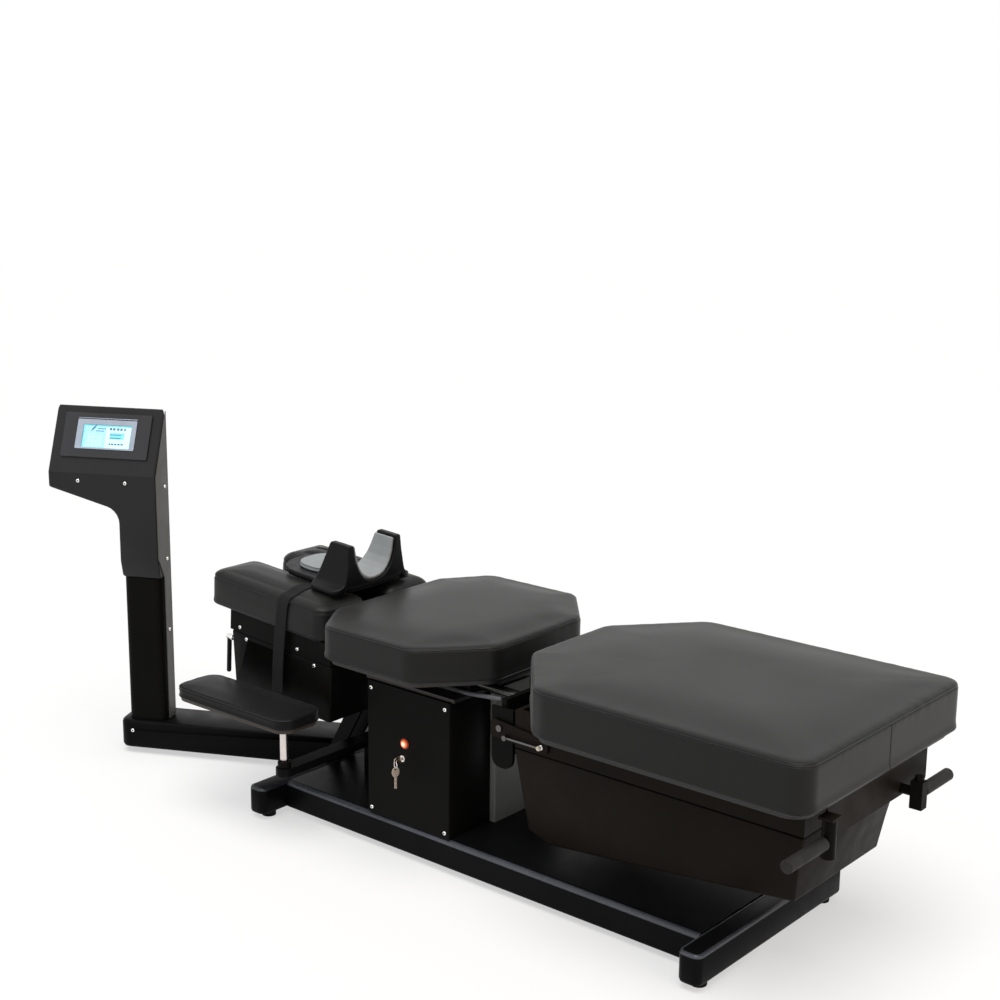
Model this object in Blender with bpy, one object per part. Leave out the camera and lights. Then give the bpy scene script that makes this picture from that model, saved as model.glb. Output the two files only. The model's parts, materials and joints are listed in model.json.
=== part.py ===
"""Adjustable traction table: floor frame, console tower, pedestal, three padded
sections, tilting head unit, swivelling arm supports and a sliding pull carriage.

Lengths are metres. The design frame has its X axis along the table from head to
foot, its Y axis across and away from the control box side, and Z up from the floor.
One root empty moves everything so that the box round the part is centred.
"""
import math

import bmesh
import bpy
from mathutils import Matrix, Vector

# Fits shared by the whole part
GAP = 0.0003
SLIP = 0.0005
CUT_OVERRUN = 0.004
SHEET = 0.003
SECTION_WALL = 0.005
CORNER_LOSS_SHARE = 0.395

# Floor frame
FOOT_PAD_HEIGHT = 0.015
FOOT_PAD_RADIUS = 0.018
FLOOR_TUBE_HEIGHT = 0.070
FLOOR_TUBE_WIDTH = 0.0555
FLOOR_TUBE_HALF_LENGTH = 0.2955
FLOOR_TUBE_END_RADIUS = 0.018
FLOOR_EDGE_RADIUS = 0.007
PLATFORM_HEAD_X = -0.2967
PLATFORM_LENGTH = 1.241
PLATFORM_HALF_WIDTH = 0.215
PLATFORM_EDGE_RADIUS = 0.016
FOOT_PAD_INSET = 0.045

# Console tower, in its own turned frame
TOWER_X = -0.937
TOWER_Y = -0.229
TOWER_TURN = math.radians(27.5)
ARM_OUTER_END = -0.015
ARM_DEPTH = 0.135
ARM_HEIGHT = 0.080
ARM_CORNER_RADIUS = 0.030
ARM_EDGE_RADIUS = 0.010
ARM_TRIM = 0.030
POST_ALONG = 0.008
POST_WIDTH = 0.110
POST_FRONT_DEPTH = 0.016
TOWER_DEPTH = 0.080
POST_CORNER_RADIUS = 0.020
NECK_RISE = 0.060
COVER_RISE = 0.100
CONSOLE_OUTER_END = -0.192
CONSOLE_OUTER_UNDERSIDE = 0.742
CONSOLE_BEND_DROP = 0.056
CONSOLE_BEND_RADIUS = 0.045
COVER_DROP = 0.082
LIP_HEIGHT = 0.043
PANEL_RISE = 0.173
CONSOLE_EDGE_RADIUS = 0.006
SIDE_COVER_THICKNESS = 0.0025
SIDE_COVER_INSET = 0.002
BEZEL_START = -0.161
BEZEL_END = 0.088
BEZEL_LOW = 0.044
BEZEL_HIGH = 0.167
BEZEL_THICKNESS = 0.0045
BEZEL_CORNER_RADIUS = 0.003
FRAME_START = -0.122
FRAME_END = 0.0485
FRAME_LOW = 0.067
FRAME_HIGH = 0.149
FRAME_THICKNESS = 0.0060
FRAME_CORNER_RADIUS = 0.003
DISPLAY_START = -0.104
DISPLAY_END = 0.034
DISPLAY_LOW = 0.0715
DISPLAY_HIGH = 0.1345
DISPLAY_THICKNESS = 0.0045
DISPLAY_CORNER_RADIUS = 0.002
SCREW_RADIUS = 0.0048
SCREW_HEIGHT = 0.0030
SCREW_SIDE_SHARE = 0.45
SCREW_TOP_SHARE = 0.62
LIP_SCREW_OUTER = -0.104
LIP_SCREW_INNER = 0.032
LIP_SCREW_DROP = 0.021
SIDE_SCREW_DEPTH = 0.052
SIDE_SCREW_DROP = 0.035
SIDE_SCREW_PITCH = 0.200
SIDE_SCREW_COUNT = 3
ARM_SCREW_ALONG = 0.026
ARM_SCREW_Z = 0.067

# Pedestal
COLUMN_HEIGHT = 0.3350
COLUMN_LENGTH = 0.265
COLUMN_HALF_WIDTH = 0.0635
COLUMN_WALL = 0.004
COLUMN_EDGE_RADIUS = 0.004
CONTROL_BOX_X = -0.0092
CONTROL_BOX_LENGTH = 0.260
CONTROL_BOX_WIDTH = 0.1445
BOX_EDGE_RADIUS = 0.003
FRONT_PLATE_THICKNESS = 0.0025
BOX_SCREW_INSET_X = 0.0125
BOX_SCREW_LOW = 0.0152
BOX_SCREW_HIGH = 0.3185
LAMP_X = 0.112
LAMP_Z = 0.289
LAMP_RADIUS = 0.0085
LAMP_COLLAR_RADIUS = 0.0125
LAMP_LENGTH = 0.0065
LAMP_COLLAR_LENGTH = 0.0030
LAMP_SHOULDER_SHARE = 0.72
SWITCH_X = 0.115
SWITCH_Z = 0.256
SWITCH_RADIUS = 0.0080
SWITCH_LENGTH = 0.0140
SWITCH_BORE_RADIUS = 0.0048
SWITCH_EDGE_RADIUS = 0.0015
KEY_THICKNESS = 0.0018
KEY_BLADE_HALF_WIDTH = 0.0030
KEY_BLADE_DEPTH = 0.0060
KEY_LENGTH = 0.041
KEY_BOW_RADIUS = 0.0100
KEY_BOW_REACH = 0.0130
KEY_HOLE_RADIUS = 0.0034
KEY_HOLE_OFFSET = 0.0078
RING_RADIUS = 0.0075
RING_WIRE_RADIUS = 0.0009
RING_SLACK = 0.0005
RING_TURN = math.radians(-20)
INLET_WIDTH = 0.027
INLET_HEIGHT = 0.020
INLET_DEPTH = 0.020
INLET_WALL = 0.0025
INLET_FLANGE = 0.006
INLET_FLANGE_THICKNESS = 0.002
INLET_X = 0.060
INLET_Z = 0.150
INLET_PIN_RADIUS = 0.0020
INLET_PIN_SPACING = 0.0070
INLET_PIN_LENGTH = 0.0120

# Slide guide on top of the pedestal
GUIDE_PLATE_HEAD_X = -0.020
GUIDE_PLATE_LENGTH = 0.280
GUIDE_PLATE_HALF_WIDTH = 0.205
GUIDE_PLATE_THICKNESS = 0.010
RAIL_LENGTH = 0.250
RAIL_WIDTH = 0.044
RAIL_HEIGHT = 0.0385
RAIL_OFFSET = 0.120
BAR_RADIUS = 0.011
BAR_HEIGHT_IN_RAIL = 0.0165

# Thoracic section
THORACIC_HEAD_X = -0.1467
THORACIC_LENGTH = 0.4963
THORACIC_HALF_WIDTH = 0.3105
THORACIC_HEAD_HALF_EDGE = 0.1855
THORACIC_FOOT_HALF_EDGE = 0.155
THORACIC_HEAD_CHAMFER = 0.084
THORACIC_FOOT_CHAMFER = 0.1335
THORACIC_SIDE_HEIGHT = 0.077
THORACIC_CORNER_RADIUS = 0.055
THORACIC_CROWN = 0.016
BOARD_THICKNESS = 0.0125
BOARD_INSET = 0.018
BOARD_CORNER_RADIUS = 0.045

# Pull carriage
CARRIAGE_X = 0.385
CARRIAGE_THICKNESS = 0.014
CARRIAGE_LOW = 0.320
CARRIAGE_HIGH = 0.458
CARRIAGE_HALF_WIDTH = 0.1845
EAR_HEAD_X = 0.362
EAR_FOOT_X = 0.424
EAR_LOW = 0.297
EAR_HIGH = 0.440
EAR_THICKNESS = 0.0080
EAR_RADIUS = 0.026
BAR_HEAD_X = -0.012
ACTUATOR_Z = 0.335
ACTUATOR_BODY_RADIUS = 0.022
ACTUATOR_BODY_X = 0.012
ACTUATOR_BODY_LENGTH = 0.225
ACTUATOR_ROD_RADIUS = 0.009
ACTUATOR_ROD_X = 0.060
TILT_X = 0.393
TILT_Z = 0.395
PIVOT_RADIUS = 0.0060
PIVOT_HEAD_RADIUS = 0.0085
PIVOT_HEAD_LENGTH = 0.0040
HOSE_RADIUS = 0.0050
HOSE_Y = -0.165
HOSE_START_X = 0.150
HOSE_LIFT = 0.0009
HOSE_END_Z = 0.4465
HOSE_POINTS = 28
HOSE_LEVEL_SHARE = 0.34

# Lumbar section
LUMBAR_HEAD_X = 0.424
LUMBAR_LENGTH = 0.8203
LUMBAR_HALF_WIDTH = 0.337
LUMBAR_HEAD_HALF_EDGE = 0.139
LUMBAR_CHAMFER = 0.1665
LUMBAR_CUSHION_Z = 0.4600
LUMBAR_SIDE_HEIGHT = 0.100
LUMBAR_CORNER_RADIUS = 0.068
LUMBAR_CROWN = 0.018
LUMBAR_FRAME_HEAD_X = 0.4325
LUMBAR_FRAME_LENGTH = 0.7325
LUMBAR_FRAME_HALF_WIDTH = 0.1955
LUMBAR_FRAME_WALL = 0.012
LUMBAR_FRAME_HEIGHT = 0.089
HULL_WALL = 0.003
HULL_HALF_WIDTH = 0.1984
HULL_LEAN = math.radians(9)
HULL_HEAD_LOW_X = 0.450
HULL_HEAD_LOW_Z = 0.157
HULL_KEEL_X = 0.508
HULL_KEEL_Z = 0.134
HULL_FOOT_SETBACK = 0.026
HULL_FOOT_Z = 0.206
HULL_KNEE_SETBACK = 0.014
HULL_FOOT_KNEE_Z = 0.285
HULL_EDGE_RADIUS = 0.005
BRACKET_THICKNESS = 0.006
BRACKET_HEAD_X = 0.366
BRACKET_FOOT_X = 0.530
BRACKET_HEAD_HIGH = 0.413
BRACKET_HEAD_LOW = 0.372
BRACKET_FOOT_HIGH = 0.399
BRACKET_FOOT_LOW = 0.366
BRACKET_CORNER_RADIUS = 0.008
LEVER_X = 0.414
LEVER_Z = 0.379
LEVER_REACH = 0.090
LEVER_HUB_RADIUS = 0.0065
LEVER_HUB_LIP = 0.0020
LEVER_ROD_RADIUS = 0.0028
BALL_RADIUS = 0.0058
HANDLE_PLATE_STANDOFF = 0.0515
HANDLE_PLATE_THICKNESS = 0.005
HANDLE_PLATE_HALF_WIDTH = 0.210
HANDLE_PLATE_LOW = 0.372
HANDLE_FLANGE_STANDOFF = 0.0055
HANDLE_FLANGE_THICKNESS = 0.005
HANDLE_PLATE_RADIUS = 0.010
NEAR_HANDLE_Y = -0.229
NEAR_HANDLE_RADIUS = 0.0145
NEAR_HANDLE_LOW = 0.352
NEAR_HANDLE_HIGH = 0.430
NEAR_EAR_THICKNESS = 0.006
GRIP_RADIUS = 0.0135
GRIP_EDGE_RADIUS = 0.005
NEAR_GRIP_LENGTH = 0.135
GRIP_Z = 0.387
SPINDLE_RADIUS = 0.0065
SPINDLE_SHOW = 0.006
SPINDLE_SHARE = 0.70
HANDLE_KNOB_RADIUS = 0.0095
HANDLE_KNOB_HEIGHT = 0.0100
FAR_HANDLE_Y = 0.100
FAR_ARM_RADIUS = 0.0105
FAR_ARM_LENGTH = 0.0290
FAR_BLOCK_LENGTH = 0.022
FAR_BLOCK_HALF_WIDTH = 0.0120
FAR_BLOCK_LOW = 0.354
FAR_BLOCK_HIGH = 0.414
FAR_GRIP_LENGTH = 0.116

# Head unit, in its own tilted frame with its origin on the hinge pin
HEAD_PIN_X = -0.202
HEAD_PIN_Z = 0.300
HEAD_TILT = math.radians(3.6)
HEAD_HALF_WIDTH = 0.190
HEAD_HOUSING_FOOT = 0.0398
HEAD_HOUSING_LOW = -0.0342
HEAD_HOUSING_HIGH = 0.1138
HEAD_HOUSING_HEAD = -0.3262
HEAD_HOUSING_UNDERCUT = 0.019
HEAD_WALL = 0.003
HEAD_EDGE_RADIUS = 0.006
HEAD_FRAME_HEAD = -0.3312
HEAD_FRAME_FOOT = 0.0368
HEAD_FRAME_HEIGHT = 0.0545
HEAD_RIB = 0.006
HEAD_GROOVE_HALF_WIDTH = 0.0250
HEAD_GROOVE_DEPTH = 0.030
HEAD_GROOVE_HEAD = -0.312
HEAD_GROOVE_FOOT = -0.030
LUG_OFFSET = 0.0345
LUG_THICKNESS = 0.008
LUG_HALF_WIDTH = 0.020
STRUT_OFFSET = 0.024
STRUT_THICKNESS = 0.008
STRUT_HALF_WIDTH = 0.020
STRUT_FOOT_X = -0.3240
PIN_RADIUS = 0.008
PIN_HALF_LENGTH = 0.050
HEAD_CUSHION_HEAD = -0.4100
HEAD_CUSHION_FOOT = 0.0158
HEAD_CUSHION_INNER = 0.037
HEAD_CUSHION_OUTER = 0.202
HEAD_CUSHION_SIDE_HEIGHT = 0.0848
HEAD_CUSHION_RADIUS = 0.038
HEAD_CROWN = 0.0130
STRAP_HEAD = -0.1475
STRAP_WIDTH = 0.038
STRAP_THICKNESS = 0.0022
STRAP_INNER_Y = 0.060
STRAP_LOW = -0.010
STRAP_BEND_RADIUS = 0.011
STRAP_STEPS = 6
RELEASE_ROD_RADIUS = 0.006
RELEASE_ROD_LENGTH = 0.098
RELEASE_Y = -0.182
RELEASE_Z = 0.088
RELEASE_HUB_RADIUS = 0.009
RELEASE_HUB_LENGTH = 0.022
RELEASE_SPINDLE_RADIUS = 0.004
RELEASE_SPINDLE_LENGTH = 0.012
HEAD_SCREW_FRAME_Z = 0.128
HEAD_SCREW_HOUSING_Z = 0.102
HEAD_SCREW_FRAME_HEAD = -0.2927
HEAD_SCREW_FRAME_FOOT = -0.0800
HEAD_SCREW_HOUSING_HEAD = -0.2671
HEAD_SCREW_HOUSING_FOOT = -0.0184

# Neck saddle that slides along the head unit
SADDLE_PLATE_HEAD = -0.276
SADDLE_PLATE_FOOT = -0.008
SADDLE_PLATE_HALF_WIDTH = 0.100
SADDLE_PLATE_THICKNESS = 0.014
SADDLE_PLATE_RADIUS = 0.085
SADDLE_RUNNER_HEAD = -0.220
SADDLE_RUNNER_FOOT = -0.100
SADDLE_RUNNER_CLEARANCE = 0.0008
SADDLE_HEAD_LOW = -0.108
SADDLE_FOOT_LOW = -0.005
SADDLE_HEAD_HIGH = -0.074
SADDLE_FOOT_HIGH = -0.015
TAB_HALF_WIDTH = 0.138
TAB_THICKNESS = 0.011
TAB_TIP_SHARE = 0.33
WING_FOOT_HALF_WIDTH = 0.112
WING_OUTER = 0.099
WING_INNER = 0.073
WING_HEIGHT = 0.106
WING_BLEND = 0.012
WING_SWEEP = 0.012
TAB_CORNER_RADIUS = 0.026
VALLEY_HEIGHT = 0.006
VALLEY_STEPS = 7
VALLEY_ROUND_SHARE = 0.85
LINER_THICKNESS = 0.007
LINER_INSET = 0.006
PAD_HEAD = -0.242
PAD_FOOT = -0.122
PAD_HALF_WIDTH = 0.064
PAD_THICKNESS = 0.012
PAD_CROWN = 0.005
PAD_RADIUS = 0.050

# Arm supports
ARM_BAR_X = -0.185
ARM_BAR_HALF_WIDTH = 0.021
ARM_BAR_THICKNESS = 0.020
ARM_BAR_CLEARANCE = 0.080
ARM_BAR_RISER_HALF_WIDTH = 0.030
ARM_BAR_EDGE_RADIUS = 0.004
ARM_BAR_END_SHARE = 0.95
ARM_POST_Y = 0.322
ARM_POST_RADIUS = 0.010
ARM_POST_HEIGHT = 0.0985
ARM_PLATE_THICKNESS = 0.010
ARM_PLATE_INSET = 0.006
ARM_PAD_HEAD = -0.550
ARM_PAD_FOOT = -0.137
ARM_PAD_INNER = 0.227
ARM_PAD_OUTER = 0.366
ARM_PAD_SIDE_HEIGHT = 0.024
ARM_PAD_RADIUS = 0.040
ARM_PAD_CROWN = 0.007

# Shapes shared by every cushion, as shares of its side height or crown
CUSHION_EDGE = 0.009
CUSHION_SEAM_DEPTH = 0.0025
CUSHION_SEAM_HALF = 0.0030
CUSHION_PINCH = 0.0030
CUSHION_ROLL = 0.012
SMALL_CUSHION_SHARE = 0.45
PANEL_REACH_SHARE = 0.80
CORNER_KEEP_SHARE = 0.25
PINCH_LOW_SHARE = 0.18
PINCH_MIDDLE_SHARE = 0.55
ROLL_INSET_SHARES = (0.00, 0.30, 1.00)
ROLL_RISE_SHARES = (0.30, 0.75, 1.10)
CROWN_REACH_SHARES = (0.22, 0.48, 0.76)
CROWN_RISE_SHARES = (0.52, 0.82, 0.96)
ARC_STEPS = 5
ROUND_STEPS = 24
SMALL_ROUND_STEPS = 12
WIRE_STEPS = 6
LUG_STEPS = 10
BALL_STEPS = 8
SADDLE_ARC_STEPS = 3
HOSE_RESOLUTION = 2
EDGE_SEGMENTS = 2
SHARP_ANGLE = math.radians(35)
ROUND_ANGLE = math.radians(40)
SOFT_ANGLE = math.radians(75)

# Heights that follow from the stack
BASE_TOP = FOOT_PAD_HEIGHT + FLOOR_TUBE_HEIGHT
PLATFORM_FOOT_X = PLATFORM_HEAD_X + PLATFORM_LENGTH
COLUMN_LOW = BASE_TOP + GAP
COLUMN_TOP = COLUMN_LOW + COLUMN_HEIGHT
GUIDE_LOW = COLUMN_TOP + GAP
GUIDE_DECK = GUIDE_LOW + GUIDE_PLATE_THICKNESS
GUIDE_TOP = GUIDE_DECK + RAIL_HEIGHT
BAR_Z = GUIDE_DECK + BAR_HEIGHT_IN_RAIL
THORACIC_BOARD_Z = GUIDE_TOP + GAP
THORACIC_CUSHION_Z = THORACIC_BOARD_Z + BOARD_THICKNESS + GAP
LUMBAR_BOARD_Z = LUMBAR_CUSHION_Z - GAP - BOARD_THICKNESS
LUMBAR_FRAME_TOP = LUMBAR_BOARD_Z - GAP
LUMBAR_FRAME_LOW = LUMBAR_FRAME_TOP - LUMBAR_FRAME_HEIGHT
HULL_TOP = LUMBAR_FRAME_LOW - GAP
LUMBAR_FRAME_FOOT_X = LUMBAR_FRAME_HEAD_X + LUMBAR_FRAME_LENGTH
HULL_FOOT_X = LUMBAR_FRAME_FOOT_X - HULL_FOOT_SETBACK
HULL_FOOT_KNEE_X = LUMBAR_FRAME_FOOT_X - HULL_KNEE_SETBACK
HANDLE_PLATE_X = LUMBAR_FRAME_FOOT_X + HANDLE_PLATE_STANDOFF
HANDLE_FLANGE_X = LUMBAR_FRAME_FOOT_X + HANDLE_FLANGE_STANDOFF
CONSOLE_BEND_HEIGHT = CONSOLE_OUTER_UNDERSIDE - CONSOLE_BEND_DROP
COVER_TOP = CONSOLE_OUTER_UNDERSIDE - COVER_DROP
NECK_TOP = COVER_TOP - COVER_RISE
POST_TOP = NECK_TOP - NECK_RISE
LIP_TOP = CONSOLE_OUTER_UNDERSIDE + LIP_HEIGHT
CONSOLE_TOP = LIP_TOP + PANEL_RISE
LIP_SCREW_Z = LIP_TOP - LIP_SCREW_DROP
SIDE_SCREW_HIGH = LIP_TOP - SIDE_SCREW_DROP
BOX_INNER_Y = COLUMN_HALF_WIDTH + SLIP
BOX_OUTER_Y = BOX_INNER_Y + CONTROL_BOX_WIDTH
PLATE_OUTER_Y = BOX_OUTER_Y + GAP + FRONT_PLATE_THICKNESS
BRACKET_INNER_Y = LUMBAR_FRAME_HALF_WIDTH + GAP
BRACKET_OUTER_Y = BRACKET_INNER_Y + BRACKET_THICKNESS
EAR_OUTER_Y = CARRIAGE_HALF_WIDTH + EAR_THICKNESS
HEAD_FRAME_LOW = HEAD_HOUSING_HIGH + GAP
HEAD_FRAME_TOP = HEAD_FRAME_LOW + HEAD_FRAME_HEIGHT
HEAD_CUSHION_Z = HEAD_FRAME_TOP + GAP
HEAD_CROWN_TOP = HEAD_CUSHION_Z + HEAD_CUSHION_SIDE_HEIGHT + HEAD_CROWN
STRAP_Z = HEAD_CROWN_TOP + GAP
SADDLE_LOW = STRAP_Z + STRAP_THICKNESS + SLIP
SADDLE_DECK = SADDLE_LOW + SADDLE_PLATE_THICKNESS
WING_LOW = SADDLE_DECK + GAP
SADDLE_PLATE_TOP = WING_LOW + GAP
HEAD_PAD_Z = SADDLE_PLATE_TOP + GAP
ARM_BAR_LOW = BASE_TOP + ARM_BAR_CLEARANCE
ARM_BAR_TOP = ARM_BAR_LOW + ARM_BAR_THICKNESS
ARM_POST_LOW = ARM_BAR_TOP + GAP
ARM_PLATE_LOW = ARM_POST_LOW + ARM_POST_HEIGHT
ARM_PAD_Z = ARM_PLATE_LOW + ARM_PLATE_THICKNESS + GAP


def clear_scene():
    """Remove whatever the scene holds."""
    for item in list(bpy.data.objects):
        bpy.data.objects.remove(item, do_unlink=True)


def make_material(name, colour, roughness, metallic=0.0):
    """One Principled material for one piece."""
    result = bpy.data.materials.new(name + "_finish")
    result.use_nodes = True
    shader = result.node_tree.nodes["Principled BSDF"]
    shader.inputs["Base Color"].default_value = (*colour, 1.0)
    shader.inputs["Roughness"].default_value = roughness
    shader.inputs["Metallic"].default_value = metallic
    result.diffuse_color = (*colour, 1.0)
    return result


COLOURS = {
    "black_metal": ((0.022, 0.021, 0.020), 0.45, 0.0),
    "grey_metal": ((0.24, 0.24, 0.235), 0.40, 0.0),
    "pale_metal": ((0.42, 0.42, 0.40), 0.45, 0.0),
    "steel": ((0.60, 0.60, 0.60), 0.25, 1.0),
    "dark_steel": ((0.12, 0.12, 0.12), 0.40, 1.0),
    "vinyl": ((0.060, 0.060, 0.058), 0.55, 0.0),
    "black_plastic": ((0.018, 0.018, 0.019), 0.35, 0.0),
    "grey_foam": ((0.34, 0.35, 0.34), 0.70, 0.0),
    "rubber": ((0.10, 0.10, 0.105), 0.75, 0.0),
    "webbing": ((0.030, 0.030, 0.032), 0.85, 0.0),
    "orange_lens": ((0.80, 0.16, 0.01), 0.20, 0.0),
    "ivory": ((0.72, 0.66, 0.52), 0.25, 0.0),
    "glass": ((0.45, 0.70, 0.80), 0.10, 0.0),
    "wood": ((0.075, 0.050, 0.035), 0.60, 0.0),
}


def add_object(name, mesh, finish, parent, origin=(0.0, 0.0, 0.0), smooth=None):
    """Close up a mesh as one named piece with its origin where it is asked for."""
    bmesh.ops.recalc_face_normals(mesh, faces=mesh.faces)
    shift = Vector(origin)
    bmesh.ops.translate(mesh, verts=mesh.verts, vec=-shift)
    data = bpy.data.meshes.new(name)
    mesh.to_mesh(data)
    mesh.free()
    item = bpy.data.objects.new(name, data)
    bpy.context.scene.collection.objects.link(item)
    item.parent = parent
    item.location = shift
    data.materials.append(make_material(name, *COLOURS[finish]))
    if smooth is not None:
        data.shade_smooth()
        data.set_sharp_from_angle(angle=smooth)
    return item


def add_empty(name, parent, location, turn=None):
    """An empty that carries a group of pieces."""
    item = bpy.data.objects.new(name, None)
    bpy.context.scene.collection.objects.link(item)
    item.parent = parent
    item.location = location
    if turn is not None:
        item.rotation_euler = turn
    return item


def bevel(item, width):
    """Round the hard edges of a piece."""
    rounding = item.modifiers.new("edge rounding", "BEVEL")
    rounding.width = width
    rounding.segments = EDGE_SEGMENTS
    rounding.limit_method = "ANGLE"
    rounding.angle_limit = SHARP_ANGLE
    rounding.harden_normals = False
    return item


def cut(item, mesh, operation="DIFFERENCE"):
    """Take a shape away from a piece, or join it on."""
    bmesh.ops.recalc_face_normals(mesh, faces=mesh.faces)
    bmesh.ops.translate(mesh, verts=mesh.verts, vec=-item.location)
    data = bpy.data.meshes.new(item.name + "_cutter")
    mesh.to_mesh(data)
    mesh.free()
    cutter = bpy.data.objects.new(item.name + "_cutter", data)
    bpy.context.scene.collection.objects.link(cutter)
    cutter.parent = item.parent
    cutter.location = item.location
    cutter.hide_render = True
    cutter.display_type = "WIRE"
    change = item.modifiers.new("shape change", "BOOLEAN")
    change.solver = "EXACT"
    change.operation = operation
    change.object = cutter
    return item


def place(axis, first, second, height):
    """Put a flat point on a plane square to one axis."""
    if axis == "X":
        return (height, first, second)
    if axis == "Y":
        return (first, height, second)
    return (first, second, height)


def loft(rings, close_ends=True):
    """Skin a stack of rings that have equal point counts."""
    mesh = bmesh.new()
    layers = [[mesh.verts.new(point) for point in ring] for ring in rings]
    count = len(layers[0])
    for low, high in zip(layers, layers[1:]):
        for index in range(count):
            after = (index + 1) % count
            mesh.faces.new((low[index], low[after], high[after], high[index]))
    if close_ends:
        mesh.faces.new(list(reversed(layers[0])))
        mesh.faces.new(layers[-1])
    return mesh


def prism(axis, outline, start, end):
    """Push a flat outline along one axis."""
    low = [place(axis, first, second, start) for first, second in outline]
    high = [place(axis, first, second, end) for first, second in outline]
    return loft([low, high])


def box(x_low, x_high, y_low, y_high, z_low, z_high):
    """A plain block."""
    return prism("Z", rectangle(x_low, x_high, y_low, y_high), z_low, z_high)


def rectangle(low_a, high_a, low_b, high_b):
    """Four corners, anticlockwise."""
    return [(low_a, low_b), (high_a, low_b), (high_a, high_b), (low_a, high_b)]


def circle(first, second, radius, steps=ROUND_STEPS):
    """Points round a circle."""
    turns = [2 * math.pi * index / steps for index in range(steps)]
    return [(first + radius * math.cos(t), second + radius * math.sin(t)) for t in turns]


def fillet(corners, radii, steps=ARC_STEPS):
    """Round the corners of a flat outline, one radius for each corner."""
    points = []
    count = len(corners)
    for index, corner in enumerate(corners):
        radius = radii[index] if isinstance(radii, (list, tuple)) else radii
        here = Vector(corner)
        back = (Vector(corners[index - 1]) - here).normalized()
        ahead = (Vector(corners[(index + 1) % count]) - here).normalized()
        if radius <= 0:
            points.append(tuple(here))
            continue
        half = back.angle(ahead) / 2
        reach = radius / math.tan(half)
        centre = here + (back + ahead).normalized() * (radius / math.sin(half))
        first = here + back * reach - centre
        last = here + ahead * reach - centre
        sweep = first.angle_signed(last)
        for step in range(steps + 1):
            turn = Matrix.Rotation(-sweep * step / steps, 2)
            points.append(tuple(centre + turn @ first))
    return points


def cylinder(axis, first, second, radius, start, end, steps=ROUND_STEPS):
    """A round bar square to one plane."""
    return prism(axis, circle(first, second, radius, steps), start, end)


def inset_corners(corners, distance):
    """Move every edge of an anticlockwise convex outline inwards."""
    count = len(corners)
    lines = []
    for index in range(count):
        start = Vector(corners[index])
        end = Vector(corners[(index + 1) % count])
        along = (end - start).normalized()
        lines.append((start + Vector((-along.y, along.x)) * distance, along))
    moved = []
    for index in range(count):
        base, along = lines[index - 1]
        other, ahead = lines[index]
        cross = along.x * ahead.y - along.y * ahead.x
        offset = other - base
        reach = (offset.x * ahead.y - offset.y * ahead.x) / cross
        moved.append(tuple(base + along * reach))
    return moved


def cushion_ring(corners, radius, distance, height):
    """One level of a cushion."""
    flat = fillet(inset_corners(corners, distance), max(radius - distance, radius * CORNER_KEEP_SHARE))
    return [(first, second, height) for first, second in flat]


def cushion(corners, radius, low, side, crown, reach, scale=1.0):
    """A padded slab: flat base, drawn-in sides, sewn channel, rolled rim and crown."""
    seam = low + side
    edge = CUSHION_EDGE * scale
    dip = CUSHION_SEAM_DEPTH * scale
    half = CUSHION_SEAM_HALF * scale
    pinch = CUSHION_PINCH * scale
    roll = CUSHION_ROLL * scale
    levels = [
        (edge, low),
        (dip, low + side * PINCH_LOW_SHARE / 2),
        (0.0, low + side * PINCH_LOW_SHARE),
        (pinch, low + side * PINCH_MIDDLE_SHARE),
        (0.0, seam - half - dip),
        (0.0, seam - half),
        (dip, seam),
        (0.0, seam + half),
    ]
    rise = crown * CROWN_RISE_SHARES[0] - half
    for inward, upward in zip(ROLL_INSET_SHARES[1:], ROLL_RISE_SHARES):
        levels.append((roll * inward, seam + half + rise * upward * ROLL_RISE_SHARES[1]))
    for inward, upward in zip(CROWN_REACH_SHARES, CROWN_RISE_SHARES):
        depth = roll + (reach - roll) * inward
        height = max(crown * upward, half + rise * ROLL_RISE_SHARES[1])
        levels.append((depth, seam + height))
    rings = [cushion_ring(corners, radius, depth, height) for depth, height in levels]
    mesh = loft(rings, close_ends=False)
    every = list(mesh.verts)
    count = len(rings[0])
    for ring, height in ((every[:count], low), (every[-count:], seam + crown)):
        middle = sum((vert.co for vert in ring), Vector()) / count
        tip = mesh.verts.new((middle.x, middle.y, height))
        for index in range(count):
            mesh.faces.new((ring[index], ring[(index + 1) % count], tip))
    return mesh


def mirrored(sign, low, high):
    """A span across the table on either side, in rising order."""
    return (low, high) if sign > 0 else (-high, -low)


def tower_to_table(along, depth):
    """Turn a place in the tower frame into the design frame."""
    cosine = math.cos(TOWER_TURN)
    sine = math.sin(TOWER_TURN)
    first = TOWER_X + along * cosine - depth * sine
    second = TOWER_Y + along * sine + depth * cosine
    return first, second


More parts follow.
